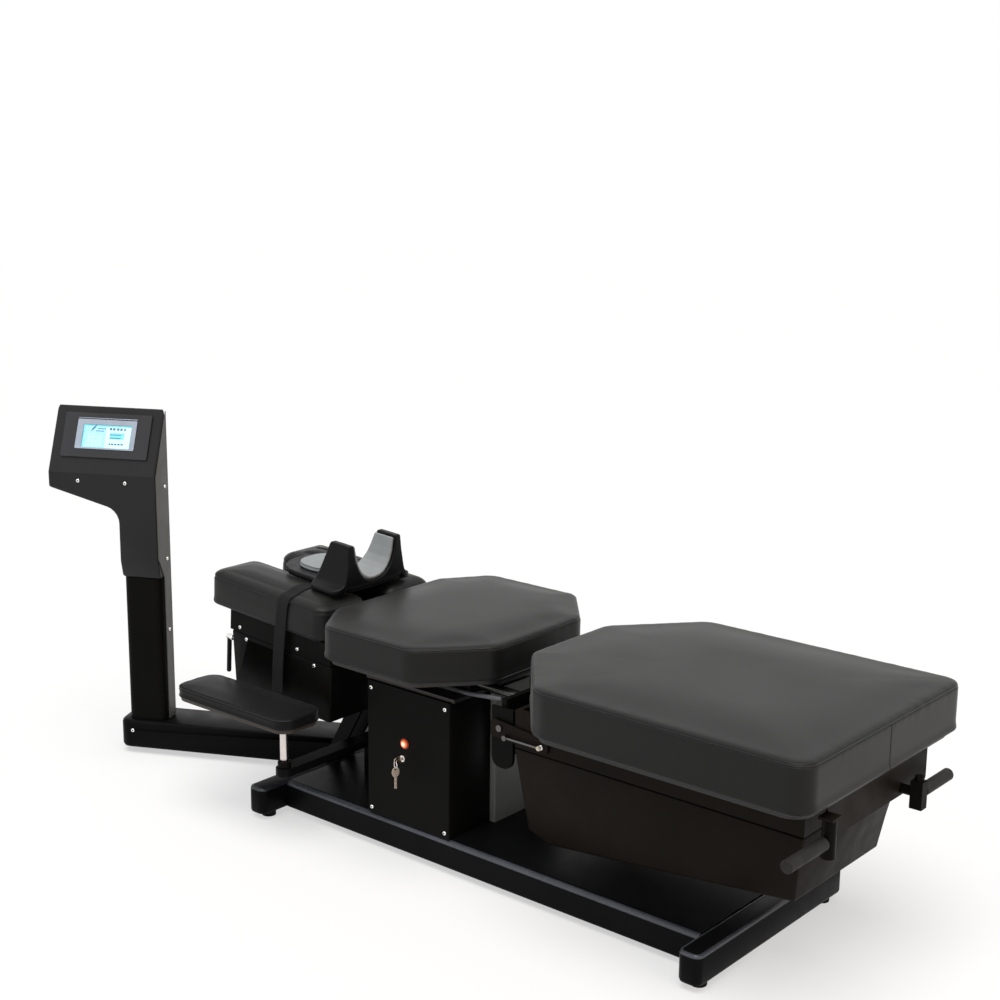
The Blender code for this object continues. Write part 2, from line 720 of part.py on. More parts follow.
def build_base(root):
    """Floor frame: platform, cross tubes and levelling feet."""
    inner = PLATFORM_HALF_WIDTH
    outline = fillet(
        rectangle(-inner, inner, FOOT_PAD_HEIGHT, BASE_TOP),
        [FLOOR_EDGE_RADIUS, FLOOR_EDGE_RADIUS, PLATFORM_EDGE_RADIUS, PLATFORM_EDGE_RADIUS],
    )
    slab = prism("X", outline, PLATFORM_HEAD_X + GAP, PLATFORM_FOOT_X - GAP)
    item = add_object("base_platform", slab, "black_metal", root, smooth=SHARP_ANGLE)
    wall = SECTION_WALL
    side = inner - wall
    corners = rectangle(-side, side, FOOT_PAD_HEIGHT + wall, BASE_TOP - wall)
    bay = fillet(corners, [0.0, 0.0, PLATFORM_EDGE_RADIUS - wall, PLATFORM_EDGE_RADIUS - wall])
    start = PLATFORM_HEAD_X - CUT_OVERRUN
    cut(item, prism("X", bay, start, PLATFORM_FOOT_X + CUT_OVERRUN))
    tubes = {
        "head_cross_tube": PLATFORM_HEAD_X - FLOOR_TUBE_WIDTH,
        "foot_cross_tube": PLATFORM_FOOT_X,
    }
    reach = FLOOR_TUBE_HALF_LENGTH
    for name, start in tubes.items():
        corners = rectangle(start, start + FLOOR_TUBE_WIDTH, -reach, reach)
        tube = prism("Z", fillet(corners, FLOOR_TUBE_END_RADIUS), FOOT_PAD_HEIGHT, BASE_TOP)
        item = bevel(add_object(name, tube, "black_metal", root), FLOOR_EDGE_RADIUS)
        middle = start + FLOOR_TUBE_WIDTH / 2
        spots = [(middle, side) for side in (FOOT_PAD_INSET - reach, reach - FOOT_PAD_INSET)]
        cut(item, floor_feet(spots), "UNION")


def floor_feet(spots):
    """Levelling feet, each set a little way into the tube above it."""
    mesh = bmesh.new()
    top = FOOT_PAD_HEIGHT + CUT_OVERRUN
    for first, second in spots:
        join(mesh, cylinder("Z", first, second, FOOT_PAD_RADIUS, 0.0, top, SMALL_ROUND_STEPS))
    return mesh


def join(mesh, extra):
    """Move the solids of one mesh into another."""
    data = bpy.data.meshes.new("spare")
    extra.to_mesh(data)
    extra.free()
    mesh.from_mesh(data)
    bpy.data.meshes.remove(data)


def arm_end(depth):
    """Where the tower arm meets the head cross tube, at one depth."""
    wall = PLATFORM_HEAD_X - FLOOR_TUBE_WIDTH - GAP
    return (wall - TOWER_X + depth * math.sin(TOWER_TURN)) / math.cos(TOWER_TURN)


def side_profile(inset):
    """Side outline of the tower head, as depth and height."""
    lean = (CONSOLE_TOP - LIP_TOP) / TOWER_DEPTH
    return [
        (POST_FRONT_DEPTH + POST_CORNER_RADIUS, POST_TOP + GAP),
        (TOWER_DEPTH - inset, POST_TOP + GAP),
        (TOWER_DEPTH - inset, CONSOLE_TOP - inset * (1 + lean)),
        (inset, LIP_TOP - inset),
        (inset, NECK_TOP),
    ]


def head_ring(depth):
    """Outer section of the tower head at one depth."""
    right = POST_ALONG + POST_WIDTH
    fall = (NECK_TOP - POST_TOP - GAP) * min(1.0, depth / POST_FRONT_DEPTH)
    bottom = NECK_TOP - fall
    top = LIP_TOP + (CONSOLE_TOP - LIP_TOP) * depth / TOWER_DEPTH
    corners = [
        (CONSOLE_OUTER_END, CONSOLE_OUTER_UNDERSIDE),
        (POST_ALONG, CONSOLE_BEND_HEIGHT),
        (POST_ALONG, bottom),
        (right, bottom),
        (right, top),
        (CONSOLE_OUTER_END, top),
    ]
    outline = fillet(corners, [0.0, CONSOLE_BEND_RADIUS, 0.0, 0.0, 0.0, 0.0])
    return [(first, depth, second) for first, second in outline]


def head_bay_ring(depth, wall):
    """Section of the console's hollow at one depth."""
    thin = SHEET
    right = POST_ALONG + POST_WIDTH - thin
    lean = (CONSOLE_TOP - LIP_TOP) / TOWER_DEPTH
    top = LIP_TOP + depth * lean - thin * math.sqrt(1 + lean * lean)
    left = CONSOLE_OUTER_END + thin
    return [
        (left, depth, CONSOLE_OUTER_UNDERSIDE + thin),
        (POST_ALONG + wall, depth, CONSOLE_BEND_HEIGHT + thin),
        (POST_ALONG + wall, depth, COVER_TOP),
        (right, depth, COVER_TOP),
        (right, depth, top),
        (left, depth, top),
    ]


def build_tower(tower):
    """Console tower: arm, post, cover, side cover and console housing."""
    corners = [
        (ARM_OUTER_END, 0.0),
        (arm_end(0.0) + ARM_TRIM, 0.0),
        (arm_end(ARM_DEPTH) + ARM_TRIM, ARM_DEPTH),
        (ARM_OUTER_END, ARM_DEPTH),
    ]
    radii = [ARM_CORNER_RADIUS, 0.0, 0.0, ARM_CORNER_RADIUS]
    arm_top = FOOT_PAD_HEIGHT + ARM_HEIGHT
    arm = prism("Z", fillet(corners, radii), FOOT_PAD_HEIGHT, arm_top)
    item = bevel(add_object("tower_floor_arm", arm, "black_metal", tower), ARM_EDGE_RADIUS)
    wall = SECTION_WALL
    beyond = ARM_TRIM + CUT_OVERRUN
    near_side = -CUT_OVERRUN
    far_side = ARM_DEPTH + CUT_OVERRUN
    waste = [
        (arm_end(near_side), near_side),
        (arm_end(near_side) + beyond, near_side),
        (arm_end(far_side) + beyond, far_side),
        (arm_end(far_side), far_side),
    ]
    cut(item, prism("Z", waste, FOOT_PAD_HEIGHT - CUT_OVERRUN, arm_top + CUT_OVERRUN))
    bay = [
        (ARM_OUTER_END + ARM_CORNER_RADIUS, wall),
        (arm_end(wall) + beyond, wall),
        (arm_end(ARM_DEPTH - wall) + beyond, ARM_DEPTH - wall),
        (ARM_OUTER_END + ARM_CORNER_RADIUS, ARM_DEPTH - wall),
    ]
    cut(item, prism("Z", bay, FOOT_PAD_HEIGHT + wall, arm_top - wall))
    cut(item, floor_feet([(FOOT_PAD_INSET, ARM_DEPTH / 2)]), "UNION")
    cut(item, screws("Y", [(ARM_SCREW_ALONG, ARM_SCREW_Z)], 0.0, -1), "UNION")
    right = POST_ALONG + POST_WIDTH
    corners = rectangle(POST_ALONG, right, POST_FRONT_DEPTH, TOWER_DEPTH)
    radii = [POST_CORNER_RADIUS, POST_CORNER_RADIUS, 0.0, 0.0]
    post = prism("Z", fillet(corners, radii), arm_top + GAP, POST_TOP)
    item = add_object("tower_lower_post", post, "black_metal", tower, smooth=SHARP_ANGLE)
    span = (POST_ALONG + wall, right - wall, POST_FRONT_DEPTH + wall, TOWER_DEPTH - wall)
    radii = [POST_CORNER_RADIUS - wall, POST_CORNER_RADIUS - wall, 0.0, 0.0]
    bay = fillet(rectangle(*span), radii)
    cut(item, prism("Z", bay, arm_top - CUT_OVERRUN, POST_TOP + CUT_OVERRUN))
    rings = [head_ring(depth) for depth in (0.0, POST_FRONT_DEPTH, TOWER_DEPTH)]
    item = add_object("console_housing", loft(rings), "black_metal", tower)
    bevel(item, CONSOLE_EDGE_RADIUS)
    rings = [head_bay_ring(depth, wall) for depth in (SHEET, TOWER_DEPTH - SHEET)]
    cut(item, loft(rings))
    cut(item, box(*span, POST_TOP - CUT_OVERRUN, COVER_TOP + CUT_OVERRUN))
    spots = [(LIP_SCREW_OUTER, LIP_SCREW_Z), (LIP_SCREW_INNER, LIP_SCREW_Z)]
    cut(item, screws("Y", spots, 0.0, -1), "UNION")
    start = right + GAP
    sheet = prism("X", side_profile(SIDE_COVER_INSET), start, start + SIDE_COVER_THICKNESS)
    item = add_object("tower_side_cover", sheet, "grey_metal", tower)
    low_part = box(
        start,
        start + SIDE_COVER_THICKNESS,
        POST_FRONT_DEPTH + POST_CORNER_RADIUS,
        TOWER_DEPTH - SIDE_COVER_INSET,
        arm_top + SIDE_COVER_INSET,
        NECK_TOP,
    )
    cut(item, low_part, "UNION")
    heights = [SIDE_SCREW_HIGH - SIDE_SCREW_PITCH * index for index in range(SIDE_SCREW_COUNT)]
    spots = [(SIDE_SCREW_DEPTH, height) for height in heights]
    cut(item, screws("X", spots, start + SIDE_COVER_THICKNESS, 1), "UNION")


def slope_plate(start, end, low, high, base, top, radius):
    """A plate on the sloping console panel, from one level above it to another."""
    rise = Vector((0.0, TOWER_DEPTH, CONSOLE_TOP - LIP_TOP)).normalized()
    outward = Vector((0.0, -rise.z, rise.y))
    corner = Vector((0.0, 0.0, LIP_TOP))
    outline = fillet(rectangle(start, end, low, high), radius)
    rings = []
    for level in (base, top):
        ring = []
        for along, distance in outline:
            point = corner + rise * distance + outward * level
            ring.append((along, point.y, point.z))
        rings.append(ring)
    return loft(rings)


def build_console_face(tower):
    """Bezel, screen frame and touch screen on the sloping panel."""
    span = (BEZEL_START, BEZEL_END, BEZEL_LOW, BEZEL_HIGH)
    plate = slope_plate(*span, GAP, GAP + BEZEL_THICKNESS, BEZEL_CORNER_RADIUS)
    item = add_object("console_bezel", plate, "black_metal", tower)
    window = slope_plate(
        FRAME_START - GAP,
        FRAME_END + GAP,
        FRAME_LOW - GAP,
        FRAME_HIGH + GAP,
        -CUT_OVERRUN,
        BEZEL_THICKNESS + CUT_OVERRUN,
        FRAME_CORNER_RADIUS,
    )
    cut(item, window)
    span = (FRAME_START, FRAME_END, FRAME_LOW, FRAME_HIGH)
    plate = slope_plate(*span, GAP, GAP + FRAME_THICKNESS, FRAME_CORNER_RADIUS)
    item = add_object("screen_frame", plate, "steel", tower)
    window = slope_plate(
        DISPLAY_START - GAP,
        DISPLAY_END + GAP,
        DISPLAY_LOW - GAP,
        DISPLAY_HIGH + GAP,
        -CUT_OVERRUN,
        FRAME_THICKNESS + CUT_OVERRUN,
        DISPLAY_CORNER_RADIUS,
    )
    cut(item, window)
    span = (DISPLAY_START, DISPLAY_END, DISPLAY_LOW, DISPLAY_HIGH)
    plate = slope_plate(*span, GAP, GAP + DISPLAY_THICKNESS, DISPLAY_CORNER_RADIUS)
    add_object("touch_screen", plate, "glass", tower)


def screws(axis, spots, seat, outward):
    """Low button heads that stand on one face."""
    mesh = bmesh.new()
    levels = [
        (1.0, -outward * SLIP),
        (1.0, outward * SCREW_HEIGHT * SCREW_SIDE_SHARE),
        (SCREW_TOP_SHARE, outward * SCREW_HEIGHT),
    ]
    for first, second in spots:
        rings = []
        for share, rise in levels:
            ring = circle(first, second, SCREW_RADIUS * share, SMALL_ROUND_STEPS)
            rings.append([place(axis, a, b, seat + rise) for a, b in ring])
        join(mesh, loft(rings))
    return mesh


def build_pedestal(root):
    """Control box, drive housing and the hollow column between them."""
    left = CONTROL_BOX_X
    right = CONTROL_BOX_X + CONTROL_BOX_LENGTH
    hood = box(left, right, -BOX_OUTER_Y, -BOX_INNER_Y, COLUMN_LOW, COLUMN_TOP)
    item = bevel(add_object("control_box", hood, "black_metal", root), BOX_EDGE_RADIUS)
    thin = SHEET
    low = COLUMN_LOW + thin
    high = COLUMN_TOP - thin
    span = (left + thin, right - thin)
    cut(item, box(*span, -BOX_OUTER_Y - CUT_OVERRUN, -BOX_INNER_Y - thin, low, high))
    corners = rectangle(left, right, COLUMN_LOW, COLUMN_TOP)
    plate = prism("Y", fillet(corners, BOX_EDGE_RADIUS), -PLATE_OUTER_Y, -BOX_OUTER_Y - GAP)
    item = add_object("control_box_front_plate", plate, "black_metal", root)
    spots = []
    for first in (left + BOX_SCREW_INSET_X, right - BOX_SCREW_INSET_X):
        for rise in (BOX_SCREW_LOW, BOX_SCREW_HIGH):
            spots.append((first, COLUMN_LOW + rise))
    cut(item, screws("Y", spots, -PLATE_OUTER_Y, -1), "UNION")
    housing = box(left, right, BOX_INNER_Y, PLATE_OUTER_Y, COLUMN_LOW, COLUMN_TOP)
    item = bevel(add_object("drive_housing", housing, "black_metal", root), BOX_EDGE_RADIUS)
    cut(item, box(*span, BOX_INNER_Y - CUT_OVERRUN, PLATE_OUTER_Y - thin, low, high))
    build_inlet(root, item)
    wall = COLUMN_WALL
    corners = rectangle(0.0, COLUMN_LENGTH, -COLUMN_HALF_WIDTH, COLUMN_HALF_WIDTH)
    tube = prism("Z", fillet(corners, COLUMN_EDGE_RADIUS), COLUMN_LOW, COLUMN_TOP)
    item = add_object("inner_column", tube, "pale_metal", root, smooth=SHARP_ANGLE)
    inner = rectangle(
        wall,
        COLUMN_LENGTH - wall,
        wall - COLUMN_HALF_WIDTH,
        COLUMN_HALF_WIDTH - wall,
    )
    cut(item, prism("Z", inner, COLUMN_LOW + wall, COLUMN_TOP + CUT_OVERRUN))
    bore = ACTUATOR_ROD_RADIUS + SLIP
    start = COLUMN_LENGTH - wall - CUT_OVERRUN
    end = COLUMN_LENGTH + CUT_OVERRUN
    cut(item, cylinder("X", 0.0, ACTUATOR_Z, bore, start, end, SMALL_ROUND_STEPS))


def build_inlet(root, housing):
    """Mains inlet in the far wall of the drive housing: flange, socket and three pins."""
    wall = INLET_WALL
    span = (INLET_X - wall, INLET_X + INLET_WIDTH + wall)
    rise = (INLET_Z - wall, INLET_Z + INLET_HEIGHT + wall)
    start = PLATE_OUTER_Y - SHEET - CUT_OVERRUN
    hole = (span[0] - GAP, span[1] + GAP, start, PLATE_OUTER_Y + CUT_OVERRUN)
    cut(housing, box(*hole, rise[0] - GAP, rise[1] + GAP))
    seat = PLATE_OUTER_Y + GAP
    face = seat + INLET_FLANGE_THICKNESS
    lip = INLET_FLANGE
    corners = rectangle(span[0] - lip, span[1] + lip, rise[0] - lip, rise[1] + lip)
    flange = prism("Y", fillet(corners, INLET_FLANGE), seat, face)
    item = add_object("power_inlet", flange, "black_plastic", root)
    back = face - INLET_DEPTH
    body = box(*span, back, seat + INLET_FLANGE_THICKNESS / 2, *rise)
    cut(item, body, "UNION")
    socket = rectangle(INLET_X, INLET_X + INLET_WIDTH, INLET_Z, INLET_Z + INLET_HEIGHT)
    cut(item, prism("Y", socket, back + wall, face + CUT_OVERRUN))
    middle = INLET_X + INLET_WIDTH / 2
    level = INLET_Z + INLET_HEIGHT / 2
    pins = bmesh.new()
    tip = back + wall + INLET_PIN_LENGTH
    for step, rise_share in ((-1, -1), (0, 1), (1, -1)):
        first = middle + INLET_PIN_SPACING * step
        second = level + INLET_PIN_RADIUS * rise_share
        start = back + wall / 2
        join(pins, cylinder("Y", first, second, INLET_PIN_RADIUS, start, tip, SMALL_ROUND_STEPS))
    cut(item, pins, "UNION")


def build_lamp_and_key(root):
    """Indicator lamp, key switch, its key, and a spare key on a ring."""
    seat = -PLATE_OUTER_Y - GAP
    steps = [
        (LAMP_COLLAR_RADIUS, seat),
        (LAMP_COLLAR_RADIUS, seat - LAMP_COLLAR_LENGTH),
        (LAMP_RADIUS, seat - LAMP_COLLAR_LENGTH),
        (LAMP_RADIUS, seat - LAMP_LENGTH * LAMP_SHOULDER_SHARE),
        (LAMP_RADIUS * LAMP_SHOULDER_SHARE, seat - LAMP_LENGTH),
    ]
    rings = []
    for radius, level in steps:
        ring = circle(LAMP_X, LAMP_Z, radius, SMALL_ROUND_STEPS)
        rings.append([(a, level, b) for a, b in ring])
    add_object("indicator_lamp", loft(rings), "orange_lens", root, smooth=ROUND_ANGLE)
    front = seat - SWITCH_LENGTH
    barrel = cylinder("Y", SWITCH_X, SWITCH_Z, SWITCH_RADIUS, front, seat)
    item = add_object("key_switch", barrel, "steel", root)
    bevel(item, SWITCH_EDGE_RADIUS)
    bore = SWITCH_BORE_RADIUS
    back = front + KEY_BLADE_DEPTH + GAP
    start = front - CUT_OVERRUN
    cut(item, cylinder("Y", SWITCH_X, SWITCH_Z, bore, start, back, SMALL_ROUND_STEPS))
    pivot = (SWITCH_X, front, SWITCH_Z)
    bow = front - KEY_BOW_REACH - GAP
    mesh = key_shape(bow, SWITCH_Z, "Y", 1, KEY_BOW_REACH + KEY_BLADE_DEPTH)
    move(mesh, SWITCH_X)
    item = add_object("switch_key", mesh, "steel", root, origin=pivot)
    hole = bow - KEY_HOLE_OFFSET
    cut(item, key_drill(SWITCH_X, hole, SWITCH_Z))
    hang = KEY_HOLE_RADIUS - RING_WIRE_RADIUS - RING_SLACK
    top = SWITCH_Z - hang
    centre = top - RING_RADIUS
    swing = (SWITCH_X, hole, top)
    ring = hung(torus(0.0, 0.0, centre), hole)
    add_object("key_ring", ring, "steel", root, origin=swing, smooth=SOFT_ANGLE)
    low = centre - RING_RADIUS - hang
    mesh = hung(key_shape(0.0, low - KEY_HOLE_OFFSET, "Z", -1, KEY_LENGTH), hole)
    item = add_object("spare_key", mesh, "steel", root, origin=swing)
    cut(item, hung(key_drill(0.0, 0.0, low), hole))


def hung(mesh, depth):
    """Turn a mesh about the upright line through the key's hole and move it there."""
    turn = Matrix.Rotation(RING_TURN, 3, "Z")
    bmesh.ops.rotate(mesh, verts=mesh.verts, cent=(0.0, 0.0, 0.0), matrix=turn)
    bmesh.ops.translate(mesh, verts=mesh.verts, vec=(SWITCH_X, depth, 0.0))
    return mesh


def key_drill(first, second, third):
    """The hole through a key bow."""
    half = KEY_THICKNESS / 2 + CUT_OVERRUN
    start = first - half
    end = first + half
    return cylinder("X", second, third, KEY_HOLE_RADIUS, start, end, SMALL_ROUND_STEPS)


def move(mesh, distance):
    """Shift a mesh along X."""
    bmesh.ops.translate(mesh, verts=mesh.verts, vec=(distance, 0.0, 0.0))


def key_shape(first, second, way, sign, length):
    """A flat key: an oval bow with a blade that leaves it along one axis."""
    radius = KEY_BOW_RADIUS
    half = KEY_BLADE_HALF_WIDTH
    spread = math.asin(half / radius)
    points = []
    base = 0.0 if way == "Y" else -math.pi / 2
    if way == "Y" and sign < 0:
        base = math.pi
    reach = Vector((math.cos(base), math.sin(base)))
    side = Vector((-reach.y, reach.x))
    middle = Vector((first, second))
    for step in range(SMALL_ROUND_STEPS + 1):
        turn = spread + (2 * math.pi - 2 * spread) * step / SMALL_ROUND_STEPS
        spot = middle + reach * (KEY_BOW_REACH * math.cos(turn)) + side * (radius * math.sin(turn))
        points.append(tuple(spot))
    tip = middle + reach * length
    points.append(tuple(tip - side * half))
    points.append(tuple(tip + side * half))
    return prism("X", points, -KEY_THICKNESS / 2, KEY_THICKNESS / 2)


def torus(centre_x, centre_y, centre_z):
    """A wire ring that stands in a plane square to Y."""
    mesh = bmesh.new()
    steps = ROUND_STEPS
    sides = WIRE_STEPS
    grid = []
    for step in range(steps):
        turn = 2 * math.pi * step / steps
        row = []
        for side in range(sides):
            roll = 2 * math.pi * side / sides
            reach = RING_RADIUS + RING_WIRE_RADIUS * math.cos(roll)
            row.append(
                mesh.verts.new(
                    (
                        centre_x + reach * math.cos(turn),
                        centre_y + RING_WIRE_RADIUS * math.sin(roll),
                        centre_z + reach * math.sin(turn),
                    )
                )
            )
        grid.append(row)
    for step in range(steps):
        after = (step + 1) % steps
        for side in range(sides):
            other = (side + 1) % sides
            mesh.faces.new((grid[step][side], grid[after][side], grid[after][other], grid[step][other]))
    return mesh


def build_guide(root):
    """Slide guide: a deck on the pedestal with two bored rails."""
    deck = box(
        GUIDE_PLATE_HEAD_X,
        GUIDE_PLATE_HEAD_X + GUIDE_PLATE_LENGTH,
        -GUIDE_PLATE_HALF_WIDTH,
        GUIDE_PLATE_HALF_WIDTH,
        GUIDE_LOW,
        GUIDE_DECK,
    )
    item = add_object("slide_guide", deck, "dark_steel", root)
    for sign in (-1, 1):
        centre = sign * RAIL_OFFSET
        half = RAIL_WIDTH / 2
        start = GUIDE_LOW + GUIDE_PLATE_THICKNESS / 2
        cut(item, box(0.0, RAIL_LENGTH, centre - half, centre + half, start, GUIDE_TOP), "UNION")
    for sign in (-1, 1):
        bore = cylinder(
            "X",
            sign * RAIL_OFFSET,
            BAR_Z,
            BAR_RADIUS + GAP,
            -CUT_OVERRUN,
            RAIL_LENGTH + CUT_OVERRUN,
        )
        cut(item, bore)


def thoracic_corners():
    """Eight corners of the thoracic section, anticlockwise."""
    head = THORACIC_HEAD_X
    foot = THORACIC_HEAD_X + THORACIC_LENGTH
    wide = THORACIC_HALF_WIDTH
    return [
        (head, THORACIC_HEAD_HALF_EDGE),
        (head, -THORACIC_HEAD_HALF_EDGE),
        (head + THORACIC_HEAD_CHAMFER, -wide),
        (foot - THORACIC_FOOT_CHAMFER, -wide),
        (foot, -THORACIC_FOOT_HALF_EDGE),
        (foot, THORACIC_FOOT_HALF_EDGE),
        (foot - THORACIC_FOOT_CHAMFER, wide),
        (head + THORACIC_HEAD_CHAMFER, wide),
    ]


def build_thoracic(root):
    """Thoracic board and cushion."""
    corners = thoracic_corners()
    outline = fillet(inset_corners(corners, BOARD_INSET), BOARD_CORNER_RADIUS)
    board = prism("Z", outline, THORACIC_BOARD_Z, THORACIC_BOARD_Z + BOARD_THICKNESS)
    add_object("thoracic_board", board, "wood", root)
    mesh = cushion(
        corners,
        THORACIC_CORNER_RADIUS,
        THORACIC_CUSHION_Z,
        THORACIC_SIDE_HEIGHT,
        THORACIC_CROWN,
        THORACIC_LENGTH / 2,
    )
    add_object("thoracic_cushion", mesh, "vinyl", root, smooth=SOFT_ANGLE)


def build_carriage(root):
    """Pull carriage with its two slide bars, and the actuator that moves it."""
    foot = CARRIAGE_X + CARRIAGE_THICKNESS
    width = CARRIAGE_HALF_WIDTH
    head = box(CARRIAGE_X, foot, -width - GAP, width + GAP, CARRIAGE_LOW, CARRIAGE_HIGH)
    item = add_object("carriage_head", head, "black_metal", root)
    radii = [EAR_RADIUS, EAR_RADIUS, 0.0, 0.0]
    outline = fillet(rectangle(EAR_HEAD_X, EAR_FOOT_X, EAR_LOW, EAR_HIGH), radii)
    for sign in (-1, 1):
        start, end = mirrored(sign, width, EAR_OUTER_Y)
        cut(item, prism("Y", outline, start, end), "UNION")
    for sign in (-1, 1):
        start, end = mirrored(sign, width - CUT_OVERRUN, EAR_OUTER_Y + CUT_OVERRUN)
        bore = PIVOT_RADIUS + GAP
        cut(item, cylinder("Y", TILT_X, TILT_Z, bore, start, end, SMALL_ROUND_STEPS))
    rod_end = CARRIAGE_X - GAP
    rod = cylinder("X", 0.0, ACTUATOR_Z, ACTUATOR_ROD_RADIUS, ACTUATOR_ROD_X, rod_end)
    add_object("traction_rod", rod, "steel", root, smooth=ROUND_ANGLE)
    for sign, name in ((-1, "near_slide_bar"), (1, "far_slide_bar")):
        bar = cylinder("X", sign * RAIL_OFFSET, BAR_Z, BAR_RADIUS, BAR_HEAD_X, CARRIAGE_X - GAP)
        item = add_object(name, bar, "steel", root, smooth=ROUND_ANGLE)
    end = ACTUATOR_BODY_X + ACTUATOR_BODY_LENGTH
    body = cylinder("X", 0.0, ACTUATOR_Z, ACTUATOR_BODY_RADIUS, ACTUATOR_BODY_X, end)
    item = add_object("traction_cylinder", body, "dark_steel", root, smooth=ROUND_ANGLE)
    bore = ACTUATOR_ROD_RADIUS + GAP
    start = ACTUATOR_ROD_X - SLIP
    cut(item, cylinder("X", 0.0, ACTUATOR_Z, bore, start, end + CUT_OVERRUN))


def hose_route():
    """Centre line of the air hose from the deck to the carriage."""
    level = GUIDE_DECK + HOSE_RADIUS + HOSE_LIFT
    span = CARRIAGE_X - GAP - HOSE_START_X
    points = []
    for index in range(HOSE_POINTS):
        share = index / (HOSE_POINTS - 1)
        free = max(0.0, (share - HOSE_LEVEL_SHARE) / (1 - HOSE_LEVEL_SHARE))
        ease = free * free * (3 - 2 * free)
        height = level + (HOSE_END_Z - level) * ease
        points.append((HOSE_START_X + span * share, HOSE_Y, height))
    return points


def build_hose(root):
    """Air hose between the pedestal and the carriage."""
    curve = bpy.data.curves.new("air_hose", "CURVE")
    curve.dimensions = "3D"
    curve.bevel_depth = HOSE_RADIUS
    curve.bevel_resolution = HOSE_RESOLUTION
    curve.use_fill_caps = True
    route = hose_route()
    spline = curve.splines.new("POLY")
    spline.points.add(len(route) - 1)
    for point, place_on in zip(spline.points, route):
        point.co = (*place_on, 1.0)
    item = bpy.data.objects.new("air_hose", curve)
    bpy.context.scene.collection.objects.link(item)
    item.parent = root
    curve.materials.append(make_material("air_hose", *COLOURS["rubber"]))


def lumbar_corners():
    """Six corners of the lumbar section, anticlockwise."""
    head = LUMBAR_HEAD_X
    foot = LUMBAR_HEAD_X + LUMBAR_LENGTH
    wide = LUMBAR_HALF_WIDTH
    return [
        (head, LUMBAR_HEAD_HALF_EDGE),
        (head, -LUMBAR_HEAD_HALF_EDGE),
        (head + LUMBAR_CHAMFER, -wide),
        (foot, -wide),
        (foot, wide),
        (head + LUMBAR_CHAMFER, wide),
    ]


def hull_half_width(height):
    """Half width of the lumbar housing at one height."""
    return HULL_HALF_WIDTH - (HULL_TOP - height) * math.tan(HULL_LEAN)


def build_lumbar(root):
    """Lumbar frame, housing, board and cushion."""
    tilt = (TILT_X, 0.0, TILT_Z)
    head = LUMBAR_FRAME_HEAD_X
    foot = LUMBAR_FRAME_FOOT_X
    wide = LUMBAR_FRAME_HALF_WIDTH
    wall = LUMBAR_FRAME_WALL
    frame = box(head, foot, -wide, wide, LUMBAR_FRAME_LOW, LUMBAR_FRAME_TOP)
    item = add_object("lumbar_frame", frame, "black_metal", root, origin=tilt)
    inner = box(
        head + wall,
        foot - wall,
        wall - wide,
        wide - wall,
        LUMBAR_FRAME_LOW - CUT_OVERRUN,
        LUMBAR_FRAME_TOP + CUT_OVERRUN,
    )
    cut(item, inner)
    outline = [
        (head, HULL_TOP),
        (HULL_HEAD_LOW_X, HULL_HEAD_LOW_Z),
        (HULL_KEEL_X, HULL_KEEL_Z),
        (HULL_FOOT_X, HULL_FOOT_Z),
        (HULL_FOOT_KNEE_X, HULL_FOOT_KNEE_Z),
        (foot, HULL_TOP),
    ]
    near = [(x, -hull_half_width(z), z) for x, z in outline]
    far = [(x, hull_half_width(z), z) for x, z in outline]
    item = add_object("lumbar_housing", loft([near, far]), "black_metal", root, origin=tilt)
    bevel(item, HULL_EDGE_RADIUS)
    thin = HULL_WALL
    shrunk = inset_corners(outline, thin)
    open_top = HULL_TOP + CUT_OVERRUN
    shrunk = [(shrunk[0][0], open_top)] + shrunk[1:-1] + [(shrunk[-1][0], open_top)]
    near = [(x, thin - hull_half_width(z), z) for x, z in shrunk]
    far = [(x, hull_half_width(z) - thin, z) for x, z in shrunk]
    cut(item, loft([near, far]))
    corners = lumbar_corners()
    outline = fillet(inset_corners(corners, BOARD_INSET), BOARD_CORNER_RADIUS)
    board = prism("Z", outline, LUMBAR_BOARD_Z, LUMBAR_BOARD_Z + BOARD_THICKNESS)
    add_object("lumbar_board", board, "wood", root, origin=tilt)
    mesh = cushion(
        corners,
        LUMBAR_CORNER_RADIUS,
        LUMBAR_CUSHION_Z,
        LUMBAR_SIDE_HEIGHT,
        LUMBAR_CROWN,
        LUMBAR_HALF_WIDTH * PANEL_REACH_SHARE,
    )
    add_object("lumbar_cushion", mesh, "vinyl", root, origin=tilt, smooth=SOFT_ANGLE)


